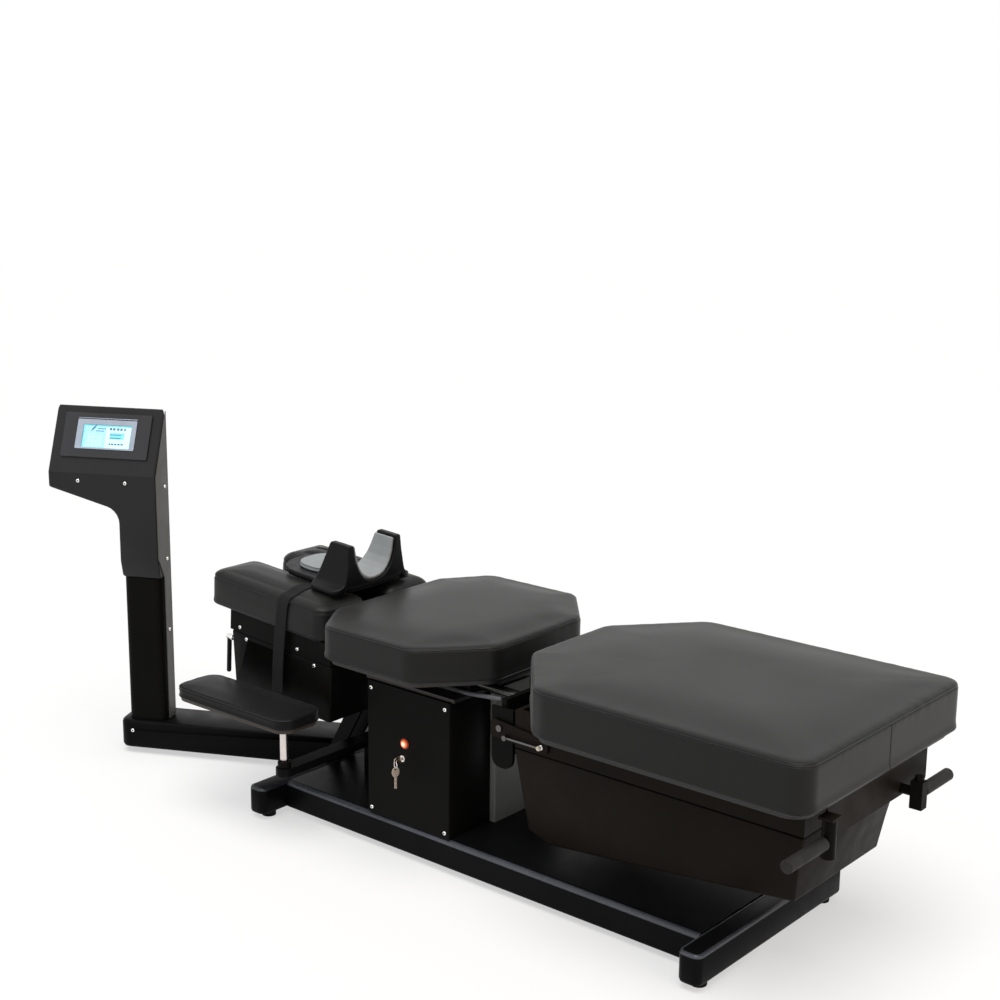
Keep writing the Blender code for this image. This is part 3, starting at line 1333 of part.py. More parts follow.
def build_brackets(root):
    """Pivot brackets on both sides, their bolts, and the lock lever."""
    tilt = (TILT_X, 0.0, TILT_Z)
    corners = [
        (BRACKET_HEAD_X, BRACKET_HEAD_LOW),
        (BRACKET_FOOT_X, BRACKET_FOOT_LOW),
        (BRACKET_FOOT_X, BRACKET_FOOT_HIGH),
        (BRACKET_HEAD_X, BRACKET_HEAD_HIGH),
    ]
    outline = fillet(corners, BRACKET_CORNER_RADIUS)
    for sign, side in ((-1, "near"), (1, "far")):
        start, end = mirrored(sign, BRACKET_INNER_Y, BRACKET_OUTER_Y)
        plate = prism("Y", outline, start, end)
        item = add_object(side + "_pivot_bracket", plate, "dark_steel", root, origin=tilt)
        bore = PIVOT_RADIUS + GAP
        drill = cylinder(
            "Y",
            TILT_X,
            TILT_Z,
            bore,
            start - CUT_OVERRUN,
            end + CUT_OVERRUN,
            SMALL_ROUND_STEPS,
        )
        cut(item, drill)
        seat = sign * (BRACKET_OUTER_Y + GAP)
        tip = seat + sign * PIVOT_HEAD_LENGTH
        profile = [
            (PIVOT_RADIUS, sign * (CARRIAGE_HALF_WIDTH + SLIP)),
            (PIVOT_RADIUS, seat),
            (PIVOT_HEAD_RADIUS, seat),
            (PIVOT_HEAD_RADIUS, tip),
        ]
        rings = []
        for radius, level in profile:
            ring = circle(TILT_X, TILT_Z, radius, SMALL_ROUND_STEPS)
            rings.append([(a, level, b) for a, b in ring])
        bolt = loft(rings)
        name = side + "_pivot_bolt"
        add_object(name, bolt, "steel", root, origin=tilt, smooth=ROUND_ANGLE)
    pivot = (LEVER_X, -BRACKET_OUTER_Y, LEVER_Z)
    start = -BRACKET_OUTER_Y - GAP
    middle = start - BALL_RADIUS - SLIP
    end = middle - LEVER_ROD_RADIUS - LEVER_HUB_LIP
    hub = cylinder("Y", LEVER_X, LEVER_Z, LEVER_HUB_RADIUS, end, start, SMALL_ROUND_STEPS)
    item = add_object("lock_lever", hub, "steel", root, origin=pivot, smooth=ROUND_ANGLE)
    tip = LEVER_X + LEVER_REACH
    rod = cylinder("X", middle, LEVER_Z, LEVER_ROD_RADIUS, LEVER_X, tip, SMALL_ROUND_STEPS)
    cut(item, rod, "UNION")
    ball = bmesh.new()
    steps = SMALL_ROUND_STEPS
    bmesh.ops.create_uvsphere(ball, u_segments=steps, v_segments=BALL_STEPS, radius=BALL_RADIUS)
    offset = (tip + GAP + BALL_RADIUS, middle, LEVER_Z)
    bmesh.ops.translate(ball, verts=ball.verts, vec=offset)
    add_object("ball_knob", ball, "ivory", root, origin=pivot, smooth=SOFT_ANGLE)


def build_handles(root):
    """Handle plate and the two grips at the foot end."""
    tilt = (TILT_X, 0.0, TILT_Z)
    back = HANDLE_PLATE_X
    face = back + HANDLE_PLATE_THICKNESS
    wide = HANDLE_PLATE_HALF_WIDTH
    top = LUMBAR_FRAME_TOP
    corners = rectangle(-wide, wide, HANDLE_PLATE_LOW, top)
    radii = [HANDLE_PLATE_RADIUS, HANDLE_PLATE_RADIUS, 0.0, 0.0]
    plate = prism("X", fillet(corners, radii), back, face)
    item = add_object("handle_plate", plate, "black_metal", root, origin=tilt)
    low = top - HANDLE_FLANGE_THICKNESS
    overlap = HANDLE_PLATE_THICKNESS / 2
    flange = box(HANDLE_FLANGE_X, back + overlap, -HEAD_HALF_WIDTH, HEAD_HALF_WIDTH, low, top)
    cut(item, flange, "UNION")
    near_x = face + GAP + SLIP + NEAR_HANDLE_RADIUS
    ear_low = NEAR_HANDLE_HIGH + GAP
    ear_top = ear_low + NEAR_EAR_THICKNESS
    reach = NEAR_HANDLE_RADIUS
    ear = box(
        back + overlap,
        near_x + reach,
        NEAR_HANDLE_Y - reach,
        NEAR_HANDLE_Y + reach + HANDLE_PLATE_THICKNESS,
        ear_low,
        ear_top,
    )
    cut(item, ear, "UNION")
    pivot = (near_x, NEAR_HANDLE_Y, GRIP_Z)
    block = cylinder("Z", near_x, NEAR_HANDLE_Y, reach, NEAR_HANDLE_LOW, NEAR_HANDLE_HIGH)
    item = add_object("near_handle", block, "black_metal", root, origin=pivot)
    grip_start = NEAR_HANDLE_Y - reach - SPINDLE_SHOW
    tip = grip_start - NEAR_GRIP_LENGTH * SPINDLE_SHARE
    spindle = cylinder("Y", near_x, GRIP_Z, SPINDLE_RADIUS, tip, NEAR_HANDLE_Y, SMALL_ROUND_STEPS)
    cut(item, spindle, "UNION")
    grip_end = grip_start - NEAR_GRIP_LENGTH
    grip = cylinder("Y", near_x, GRIP_Z, GRIP_RADIUS, grip_end, grip_start)
    item = add_object("near_grip", grip, "rubber", root, origin=pivot)
    bevel(item, GRIP_EDGE_RADIUS)
    bore = SPINDLE_RADIUS + GAP
    inner = tip - GAP
    cut(item, cylinder("Y", near_x, GRIP_Z, bore, inner, grip_start + CUT_OVERRUN, SMALL_ROUND_STEPS))
    pivot = (face, FAR_HANDLE_Y, GRIP_Z)
    start = face + GAP
    end = start + FAR_ARM_LENGTH
    arm = cylinder("X", FAR_HANDLE_Y, GRIP_Z, FAR_ARM_RADIUS, start, end, SMALL_ROUND_STEPS)
    item = add_object("far_handle", arm, "black_metal", root, origin=pivot)
    half = FAR_BLOCK_HALF_WIDTH
    near_side = FAR_HANDLE_Y - half
    far_side = FAR_HANDLE_Y + half
    block_end = end + FAR_BLOCK_LENGTH
    overlap = FAR_ARM_RADIUS / 2
    cut(item, box(end - overlap, block_end, near_side, far_side, FAR_BLOCK_LOW, FAR_BLOCK_HIGH), "UNION")
    middle = (end - overlap + block_end) / 2
    grip_start = far_side + SPINDLE_SHOW
    tip = grip_start + FAR_GRIP_LENGTH * SPINDLE_SHARE
    spindle = cylinder("Y", middle, GRIP_Z, SPINDLE_RADIUS, FAR_HANDLE_Y, tip, SMALL_ROUND_STEPS)
    cut(item, spindle, "UNION")
    knob_top = FAR_BLOCK_HIGH + HANDLE_KNOB_HEIGHT
    knob_low = FAR_BLOCK_HIGH - HANDLE_KNOB_HEIGHT
    knob = cylinder("Z", middle, FAR_HANDLE_Y, HANDLE_KNOB_RADIUS, knob_low, knob_top, SMALL_ROUND_STEPS)
    cut(item, knob, "UNION")
    grip = cylinder("Y", middle, GRIP_Z, GRIP_RADIUS, grip_start, grip_start + FAR_GRIP_LENGTH)
    item = add_object("far_grip", grip, "rubber", root, origin=pivot)
    bevel(item, GRIP_EDGE_RADIUS)
    inner = tip + GAP
    cut(item, cylinder("Y", middle, GRIP_Z, bore, grip_start - CUT_OVERRUN, inner, SMALL_ROUND_STEPS))
    return near_x


def build_head_supports(root):
    """Yoke on the head cross tube, with the pin that the head unit turns on."""
    low = BASE_TOP + GAP
    foot = Vector((STRUT_FOOT_X, low))
    pin = Vector((HEAD_PIN_X, HEAD_PIN_Z))
    along = (pin - foot).normalized()
    side = Vector((-along.y, along.x))
    half = STRUT_HALF_WIDTH
    spread = half / along.y
    points = [(foot.x + spread, low)]
    for step in range(LUG_STEPS + 1):
        turn = math.pi * step / LUG_STEPS
        edge = pin - side * half * math.cos(turn) + along * half * math.sin(turn)
        points.append(tuple(edge))
    points.append((foot.x - spread, low))
    start, end = mirrored(-1, STRUT_OFFSET, STRUT_OFFSET + STRUT_THICKNESS)
    item = add_object("head_yoke", prism("Y", points, start, end), "black_metal", root)
    start, end = mirrored(1, STRUT_OFFSET, STRUT_OFFSET + STRUT_THICKNESS)
    cut(item, prism("Y", points, start, end), "UNION")
    reach = STRUT_OFFSET + STRUT_THICKNESS
    tie = box(
        foot.x - spread + CUT_OVERRUN,
        foot.x + spread,
        -reach,
        reach,
        low,
        low + STRUT_THICKNESS,
    )
    cut(item, tie, "UNION")
    pin_bar = cylinder(
        "Y",
        HEAD_PIN_X,
        HEAD_PIN_Z,
        PIN_RADIUS,
        -PIN_HALF_LENGTH,
        PIN_HALF_LENGTH,
        SMALL_ROUND_STEPS,
    )
    cut(item, pin_bar, "UNION")


def build_head_unit(head):
    """Head housing, frame, cushions, screws, strap and release lever."""
    wide = HEAD_HALF_WIDTH
    low = HEAD_HOUSING_LOW
    top = HEAD_HOUSING_HIGH
    corners = [
        (HEAD_HOUSING_HEAD + HEAD_HOUSING_UNDERCUT, low),
        (HEAD_HOUSING_FOOT, low),
        (HEAD_HOUSING_FOOT, top),
        (HEAD_HOUSING_HEAD, top),
    ]
    shell = prism("Y", corners, -wide, wide)
    item = add_object("head_housing", shell, "black_metal", head)
    bevel(item, HEAD_EDGE_RADIUS)
    thin = HEAD_WALL
    inner = inset_corners(corners, thin)
    lower = low - CUT_OVERRUN
    inner = [(inner[0][0], lower), (inner[1][0], lower), inner[2], inner[3]]
    cut(item, prism("Y", inner, thin - wide, wide - thin))
    for sign in (-1, 1):
        start, end = mirrored(sign, LUG_OFFSET - SLIP, LUG_OFFSET + LUG_THICKNESS + SLIP)
        half = LUG_HALF_WIDTH + SLIP
        cut(item, box(-half, half, start, end, top - thin - CUT_OVERRUN, top + CUT_OVERRUN))
    start = HEAD_HOUSING_HEAD - CUT_OVERRUN
    end = HEAD_HOUSING_HEAD + HEAD_HOUSING_UNDERCUT
    bore = RELEASE_SPINDLE_RADIUS + GAP
    cut(item, cylinder("X", RELEASE_Y, RELEASE_Z, bore, start, end, SMALL_ROUND_STEPS))
    housing_spots = [(HEAD_SCREW_HOUSING_HEAD, HEAD_SCREW_HOUSING_Z)]
    housing_spots.append((HEAD_SCREW_HOUSING_FOOT, HEAD_SCREW_HOUSING_Z))
    for sign in (-1, 1):
        cut(item, screws("Y", housing_spots, sign * wide, sign), "UNION")
    slab = box(HEAD_FRAME_HEAD, HEAD_FRAME_FOOT, -wide, wide, HEAD_FRAME_LOW, HEAD_FRAME_TOP)
    item = add_object("head_frame", slab, "black_metal", head)
    frame_spots = [(HEAD_SCREW_FRAME_HEAD, HEAD_SCREW_FRAME_Z)]
    frame_spots.append((HEAD_SCREW_FRAME_FOOT, HEAD_SCREW_FRAME_Z))
    for sign in (-1, 1):
        cut(item, screws("Y", frame_spots, sign * wide, sign), "UNION")
    outline = lug_outline()
    for sign in (-1, 1):
        start, end = mirrored(sign, LUG_OFFSET, LUG_OFFSET + LUG_THICKNESS)
        cut(item, prism("Y", outline, start, end), "UNION")
    web = LUG_OFFSET + LUG_THICKNESS + HEAD_RIB
    for sign in (-1, 1):
        start, end = mirrored(sign, web, wide - HEAD_RIB)
        span = (HEAD_FRAME_HEAD + HEAD_RIB, HEAD_FRAME_FOOT - HEAD_RIB)
        low_end = HEAD_FRAME_LOW - CUT_OVERRUN
        cut(item, box(*span, start, end, low_end, HEAD_FRAME_TOP - HEAD_RIB))
    groove = box(
        HEAD_GROOVE_HEAD,
        HEAD_GROOVE_FOOT,
        -HEAD_GROOVE_HALF_WIDTH,
        HEAD_GROOVE_HALF_WIDTH,
        HEAD_FRAME_TOP - HEAD_GROOVE_DEPTH,
        HEAD_FRAME_TOP + CUT_OVERRUN,
    )
    cut(item, groove)
    reach = LUG_OFFSET + LUG_THICKNESS + CUT_OVERRUN
    cut(item, cylinder("Y", 0.0, 0.0, PIN_RADIUS + GAP, -reach, reach, SMALL_ROUND_STEPS))
    for sign, name in ((-1, "near_head_cushion"), (1, "far_head_cushion")):
        start, end = mirrored(sign, HEAD_CUSHION_INNER, HEAD_CUSHION_OUTER)
        corners = rectangle(HEAD_CUSHION_HEAD, HEAD_CUSHION_FOOT, start, end)
        mesh = cushion(
            corners,
            HEAD_CUSHION_RADIUS,
            HEAD_CUSHION_Z,
            HEAD_CUSHION_SIDE_HEIGHT,
            HEAD_CROWN,
            (HEAD_CUSHION_OUTER - HEAD_CUSHION_INNER) / 2,
        )
        add_object(name, mesh, "vinyl", head, smooth=SOFT_ANGLE)
    build_strap(head)
    build_release_lever(head)


def lug_outline():
    """Hinge lug: a flat plate from the head frame down round the pin."""
    half = LUG_HALF_WIDTH
    points = [(half, HEAD_FRAME_LOW + PIN_RADIUS)]
    points.append((-half, HEAD_FRAME_LOW + PIN_RADIUS))
    for step in range(LUG_STEPS + 1):
        turn = math.pi * (1 + step / LUG_STEPS)
        points.append((half * math.cos(turn), half * math.sin(turn)))
    return points


def build_strap(head):
    """Webbing strap over the near head cushion."""
    inner = HEAD_CUSHION_OUTER + SLIP
    outer = inner + STRAP_THICKNESS
    radius = STRAP_BEND_RADIUS
    top = STRAP_Z + STRAP_THICKNESS
    outside = [(-STRAP_INNER_Y, top)]
    inside = [(-STRAP_INNER_Y, STRAP_Z)]
    for step in range(STRAP_STEPS + 1):
        turn = math.pi / 2 * (1 + step / STRAP_STEPS)
        centre_y = -outer + radius
        centre_z = top - radius
        cosine = math.cos(turn)
        sine = math.sin(turn)
        small = radius - STRAP_THICKNESS
        outside.append((centre_y + radius * cosine, centre_z + radius * sine))
        inside.append((centre_y + small * cosine, centre_z + small * sine))
    outside.append((-outer, STRAP_LOW))
    inside.append((-inner, STRAP_LOW))
    outline = outside + list(reversed(inside))
    band = prism("X", outline, STRAP_HEAD, STRAP_HEAD + STRAP_WIDTH)
    add_object("head_strap", band, "webbing", head, smooth=ROUND_ANGLE)


def build_release_lever(head):
    """Release rod that hangs on the head end of the unit."""
    seat = HEAD_HOUSING_HEAD - SLIP
    end = seat - RELEASE_HUB_LENGTH
    pivot = (seat, RELEASE_Y, RELEASE_Z)
    hub = cylinder("X", RELEASE_Y, RELEASE_Z, RELEASE_HUB_RADIUS, end, seat, SMALL_ROUND_STEPS)
    item = add_object("release_lever", hub, "black_metal", head, origin=pivot)
    middle = end + RELEASE_ROD_RADIUS
    low = RELEASE_Z - RELEASE_ROD_LENGTH
    rod = cylinder("Z", middle, RELEASE_Y, RELEASE_ROD_RADIUS, low, RELEASE_Z, SMALL_ROUND_STEPS)
    cut(item, rod, "UNION")
    tip = seat + RELEASE_SPINDLE_LENGTH
    radius = RELEASE_SPINDLE_RADIUS
    start = seat - RELEASE_SPINDLE_RADIUS
    spindle = cylinder("X", RELEASE_Y, RELEASE_Z, radius, start, tip, SMALL_ROUND_STEPS)
    cut(item, spindle, "UNION")


def saddle_outline():
    """Half outline of the neck saddle from the tab tip up over the wing."""
    deck = WING_LOW
    half = SADDLE_PLATE_HALF_WIDTH + GAP
    tab_top = SADDLE_LOW + TAB_THICKNESS
    top = deck + WING_HEIGHT
    lower = [
        (0.0, deck),
        (half, deck),
        (half, SADDLE_LOW),
        (TAB_HALF_WIDTH, SADDLE_LOW),
        (TAB_HALF_WIDTH, tab_top),
        (WING_FOOT_HALF_WIDTH, tab_top + WING_SWEEP),
        (WING_OUTER, top),
        (WING_INNER, top),
    ]
    tip = TAB_THICKNESS * TAB_TIP_SHARE
    rim = WING_BLEND / 2
    radii = [0.0, 0.0, 0.0, tip, tip, WING_BLEND, rim, 0.0]
    return lower, radii, deck, top


def valley(inner, low, top):
    """The hollow that takes the neck, from its rim to its middle."""
    points = []
    for step in range(VALLEY_STEPS + 1):
        turn = math.pi / 2 * step / VALLEY_STEPS
        reach = inner * math.cos(turn) ** VALLEY_ROUND_SHARE
        points.append((reach, top - (top - low) * math.sin(turn)))
    return points


def build_saddle(head):
    """Neck saddle with its runner, liner and head pad."""
    lower, radii, deck, top = saddle_outline()
    low = deck + VALLEY_HEIGHT
    half = fillet_open(lower, radii) + valley(WING_INNER, low, top)[1:]
    full = half + [(-y, z) for y, z in reversed(half[1:-1])]
    mesh = leaning_prism(full, deck, top)
    item = add_object("headpiece", mesh, "black_plastic", head, smooth=SHARP_ANGLE)
    tab = TAB_HALF_WIDTH
    outline = fillet(rectangle(SADDLE_HEAD_LOW, SADDLE_FOOT_LOW, -tab, tab), TAB_CORNER_RADIUS)
    cut(item, prism("Z", outline, SADDLE_LOW - CUT_OVERRUN, top + CUT_OVERRUN), "INTERSECT")
    ends = (SADDLE_PLATE_HEAD, SADDLE_PLATE_FOOT)
    wide = SADDLE_PLATE_HALF_WIDTH
    outline = fillet(
        rectangle(*ends, -wide, wide),
        [SADDLE_PLATE_RADIUS, WING_BLEND, WING_BLEND, SADDLE_PLATE_RADIUS],
    )
    cut(item, prism("Z", outline, SADDLE_LOW, SADDLE_PLATE_TOP), "UNION")
    side = HEAD_GROOVE_HALF_WIDTH - SADDLE_RUNNER_CLEARANCE
    floor = HEAD_FRAME_TOP - HEAD_GROOVE_DEPTH + SADDLE_RUNNER_CLEARANCE
    runner = box(SADDLE_RUNNER_HEAD, SADDLE_RUNNER_FOOT, -side, side, floor, SADDLE_LOW + GAP)
    cut(item, runner, "UNION")
    rim = WING_INNER - SLIP
    start = low + SLIP
    thick = LINER_THICKNESS
    outer = valley(rim, start, top)[1:]
    inside = valley(rim - thick, start + thick, top)[1:]
    profile = outer + [(-y, z) for y, z in reversed(outer[:-1])]
    profile += [(-y, z) for y, z in inside] + list(reversed(inside[:-1]))
    mesh = leaning_prism(profile, deck, top, LINER_INSET)
    add_object("headpiece_liner", mesh, "grey_foam", head, smooth=SHARP_ANGLE)
    corners = rectangle(PAD_HEAD, PAD_FOOT, -PAD_HALF_WIDTH, PAD_HALF_WIDTH)
    mesh = cushion(
        corners,
        PAD_RADIUS,
        HEAD_PAD_Z,
        PAD_THICKNESS,
        PAD_CROWN,
        PAD_HALF_WIDTH * PANEL_REACH_SHARE,
        SMALL_CUSHION_SHARE,
    )
    add_object("head_pad", mesh, "grey_foam", head, smooth=SOFT_ANGLE)


def fillet_open(points, radii):
    """Round the corners of an open chain, its ends left as they are."""
    closed = fillet(points, [0.0] + list(radii[1:-1]) + [0.0], steps=SADDLE_ARC_STEPS)
    return closed


def leaning_prism(profile, deck, top, inset=0.0):
    """Push a profile along X between two leaning end planes."""
    rings = []
    pairs = ((SADDLE_HEAD_LOW, SADDLE_HEAD_HIGH, 1), (SADDLE_FOOT_LOW, SADDLE_FOOT_HIGH, -1))
    for low_x, high_x, sign in pairs:
        ring = []
        for y, z in profile:
            share = (z - deck) / (top - deck)
            ring.append((low_x + (high_x - low_x) * share + sign * inset, y, z))
        rings.append(ring)
    return loft(rings)


def build_arm_supports(root):
    """Cross bar with two swivelling padded arm supports."""
    reach = ARM_POST_Y + ARM_BAR_HALF_WIDTH
    left = ARM_BAR_X - ARM_BAR_HALF_WIDTH
    right = ARM_BAR_X + ARM_BAR_HALF_WIDTH
    corners = rectangle(left, right, -reach, reach)
    bar = prism("Z", fillet(corners, ARM_BAR_HALF_WIDTH * ARM_BAR_END_SHARE), ARM_BAR_LOW, ARM_BAR_TOP)
    item = add_object("armrest_bar", bar, "black_metal", root)
    half = ARM_BAR_RISER_HALF_WIDTH
    middle = ARM_BAR_LOW + ARM_BAR_THICKNESS / 2
    inset = ARM_BAR_EDGE_RADIUS / 2
    riser = box(left + inset, right - inset, -half, half, BASE_TOP + GAP, middle)
    cut(item, riser, "UNION")
    for sign, name in ((-1, "near"), (1, "far")):
        pivot = (ARM_BAR_X, sign * ARM_POST_Y, ARM_POST_LOW)
        top = ARM_PLATE_LOW + ARM_PLATE_THICKNESS
        start, end = mirrored(sign, ARM_PAD_INNER, ARM_PAD_OUTER)
        corners = rectangle(ARM_PAD_HEAD, ARM_PAD_FOOT, start, end)
        inner = fillet(inset_corners(corners, ARM_PLATE_INSET), ARM_PAD_RADIUS - ARM_PLATE_INSET)
        plate = prism("Z", inner, ARM_PLATE_LOW, top)
        item = add_object(name + "_arm_support", plate, "wood", root, origin=pivot)
        level = ARM_PLATE_LOW + ARM_PLATE_THICKNESS / 2
        post = cylinder("Z", ARM_BAR_X, sign * ARM_POST_Y, ARM_POST_RADIUS, ARM_POST_LOW, level)
        cut(item, post, "UNION")
        mesh = cushion(
            corners,
            ARM_PAD_RADIUS,
            ARM_PAD_Z,
            ARM_PAD_SIDE_HEIGHT,
            ARM_PAD_CROWN,
            (ARM_PAD_OUTER - ARM_PAD_INNER) / 2 * PANEL_REACH_SHARE,
            SMALL_CUSHION_SHARE,
        )
        add_object(name + "_arm_pad", mesh, "vinyl", root, origin=pivot, smooth=SOFT_ANGLE)


def part_centre():
    """Middle of the box round the whole part, in the design frame."""
    depth = TOWER_DEPTH
    head = tower_to_table(CONSOLE_OUTER_END, depth)[0]
    head += CONSOLE_EDGE_RADIUS * CORNER_LOSS_SHARE
    face = HANDLE_PLATE_X + HANDLE_PLATE_THICKNESS + GAP
    start = face + FAR_ARM_LENGTH
    middle = start + (FAR_BLOCK_LENGTH - FAR_ARM_RADIUS / 2) / 2
    foot = max(start + FAR_BLOCK_LENGTH, middle + GRIP_RADIUS)
    near = -NEAR_HANDLE_Y + NEAR_HANDLE_RADIUS + SPINDLE_SHOW + NEAR_GRIP_LENGTH
    far = ARM_PAD_OUTER
    return (head + foot) / 2, (far - near) / 2


def main():
    """Build the whole table."""
    clear_scene()
    centre_x, centre_y = part_centre()
    root = add_empty("table_origin", None, (-centre_x, -centre_y, 0.0))
    tower = add_empty("tower_origin", root, (TOWER_X, TOWER_Y, 0.0), (0.0, 0.0, TOWER_TURN))
    head = add_empty("head_origin", root, (HEAD_PIN_X, 0.0, HEAD_PIN_Z), (0.0, HEAD_TILT, 0.0))
    build_base(root)
    build_tower(tower)
    build_console_face(tower)
    build_pedestal(root)
    build_lamp_and_key(root)
    build_guide(root)
    build_thoracic(root)
    build_carriage(root)
    build_hose(root)
    build_lumbar(root)
    build_brackets(root)
    build_handles(root)
    build_head_supports(root)
    build_head_unit(head)
    build_saddle(head)
    build_arm_supports(root)


main()
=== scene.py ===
"""Looks of the traction table: finishes, upholstery, covers and fittings.

Every size is in metres. Places are written in the design frame, whose X axis runs
along the table from head to foot, and are moved into the part's frame by TABLE,
TOWER (the turned console tower) or HEAD (the tilted head unit).
"""

import json
import logging
import math
from dataclasses import dataclass
from enum import Enum
from itertools import accumulate
from typing import Callable, Sequence

import bmesh
import bpy
import numpy as np
from mathutils import Matrix, Vector, noise
from mathutils.bvhtree import BVHTree

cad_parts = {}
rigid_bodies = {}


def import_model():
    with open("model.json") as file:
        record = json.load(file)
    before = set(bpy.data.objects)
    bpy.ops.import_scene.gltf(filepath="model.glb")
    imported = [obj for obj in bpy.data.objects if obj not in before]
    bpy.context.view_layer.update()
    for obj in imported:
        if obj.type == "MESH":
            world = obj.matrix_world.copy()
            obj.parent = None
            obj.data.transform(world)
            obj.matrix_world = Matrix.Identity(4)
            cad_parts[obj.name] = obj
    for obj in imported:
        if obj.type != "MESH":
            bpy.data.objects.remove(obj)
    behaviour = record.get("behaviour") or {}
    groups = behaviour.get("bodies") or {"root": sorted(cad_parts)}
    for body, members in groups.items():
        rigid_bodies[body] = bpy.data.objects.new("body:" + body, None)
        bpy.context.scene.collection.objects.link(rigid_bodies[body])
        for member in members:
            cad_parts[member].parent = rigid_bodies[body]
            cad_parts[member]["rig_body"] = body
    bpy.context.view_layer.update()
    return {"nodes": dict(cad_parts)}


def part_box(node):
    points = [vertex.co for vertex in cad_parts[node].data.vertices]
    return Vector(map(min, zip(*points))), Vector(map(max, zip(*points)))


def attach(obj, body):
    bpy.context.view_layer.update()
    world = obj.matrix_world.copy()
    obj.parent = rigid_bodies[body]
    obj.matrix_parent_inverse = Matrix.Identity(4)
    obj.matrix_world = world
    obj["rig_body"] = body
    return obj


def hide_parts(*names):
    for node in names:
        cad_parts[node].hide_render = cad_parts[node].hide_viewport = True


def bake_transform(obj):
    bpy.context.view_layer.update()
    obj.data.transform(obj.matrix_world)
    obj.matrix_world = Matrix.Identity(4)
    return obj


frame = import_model()

LOG = logging.getLogger("traction_table")
ORIGIN = Vector((0.065462, -0.00925, 0.0))
TABLE = Matrix.Translation(-ORIGIN)
TOWER = Matrix.Translation(Vector((-0.937, -0.229, 0.0)) - ORIGIN) @ Matrix.Rotation(
    math.radians(27.5), 4, "Z"
)
HEAD = Matrix.Translation(Vector((-0.202, 0.0, 0.300)) - ORIGIN) @ Matrix.Rotation(
    math.radians(3.6), 4, "Y"
)
MERGE = 1e-5
FLAT_ANGLE = math.radians(0.6)
ROUND = 64
ALONG_X = Matrix.Rotation(math.radians(90), 4, "Y")

Colour = tuple[float, float, float]
Point2 = tuple[float, float]
Point3 = tuple[float, float, float]
Piece = bpy.types.Object
Socket = bpy.types.NodeSocket


class Side(Enum):
    """The two sides of the table."""

    NEAR = -1
    FAR = 1

    @property
    def word(self) -> str:
        """Give the side's word in names."""
        return self.name.lower()

    @property
    def out(self) -> Point3:
        """Give the direction away from the table's middle."""
        return (0.0, float(self.value), 0.0)

    def span(self, inner: float, outer: float) -> Point2:
        """Give the strip between two distances from the middle, low edge first."""
        return (-outer, -inner) if self is Side.NEAR else (inner, outer)


# ---------------------------------------------------------------------------
# Finishes
# ---------------------------------------------------------------------------


class Nodes:
    """The nodes of a tree."""

    def __init__(self, tree: bpy.types.NodeTree) -> None:
        """Take a tree."""
        self.tree = tree

    def add(self, kind: str, inputs: dict | None = None, **settings: object) -> bpy.types.Node:
        """Add a node.

        Args:
            kind: The node's type, without the leading ShaderNode.
            inputs: Sockets by name, each with a value or the output that feeds it.
            **settings: The node's own settings.

        Returns:
            The new node.
        """
        node = self.tree.nodes.new("ShaderNode" + kind)
        for key, value in settings.items():
            setattr(node, key, value)
        for key, value in (inputs or {}).items():
            if isinstance(value, Socket):
                self.tree.links.new(value, node.inputs[key])
            else:
                node.inputs[key].default_value = value
        return node

    def sums(self, first: Socket, second: Socket | float, kind: str = "ADD") -> Socket:
        """Join two values with one arithmetic step.

        Args:
            first: The first output.
            second: The second output, or a number.
            kind: The operation.

        Returns:
            The result's output.
        """
        node = self.add("Math", operation=kind)
        self.tree.links.new(first, node.inputs[0])
        if isinstance(second, Socket):
            self.tree.links.new(second, node.inputs[1])
        else:
            node.inputs[1].default_value = second
        return node.outputs[0]


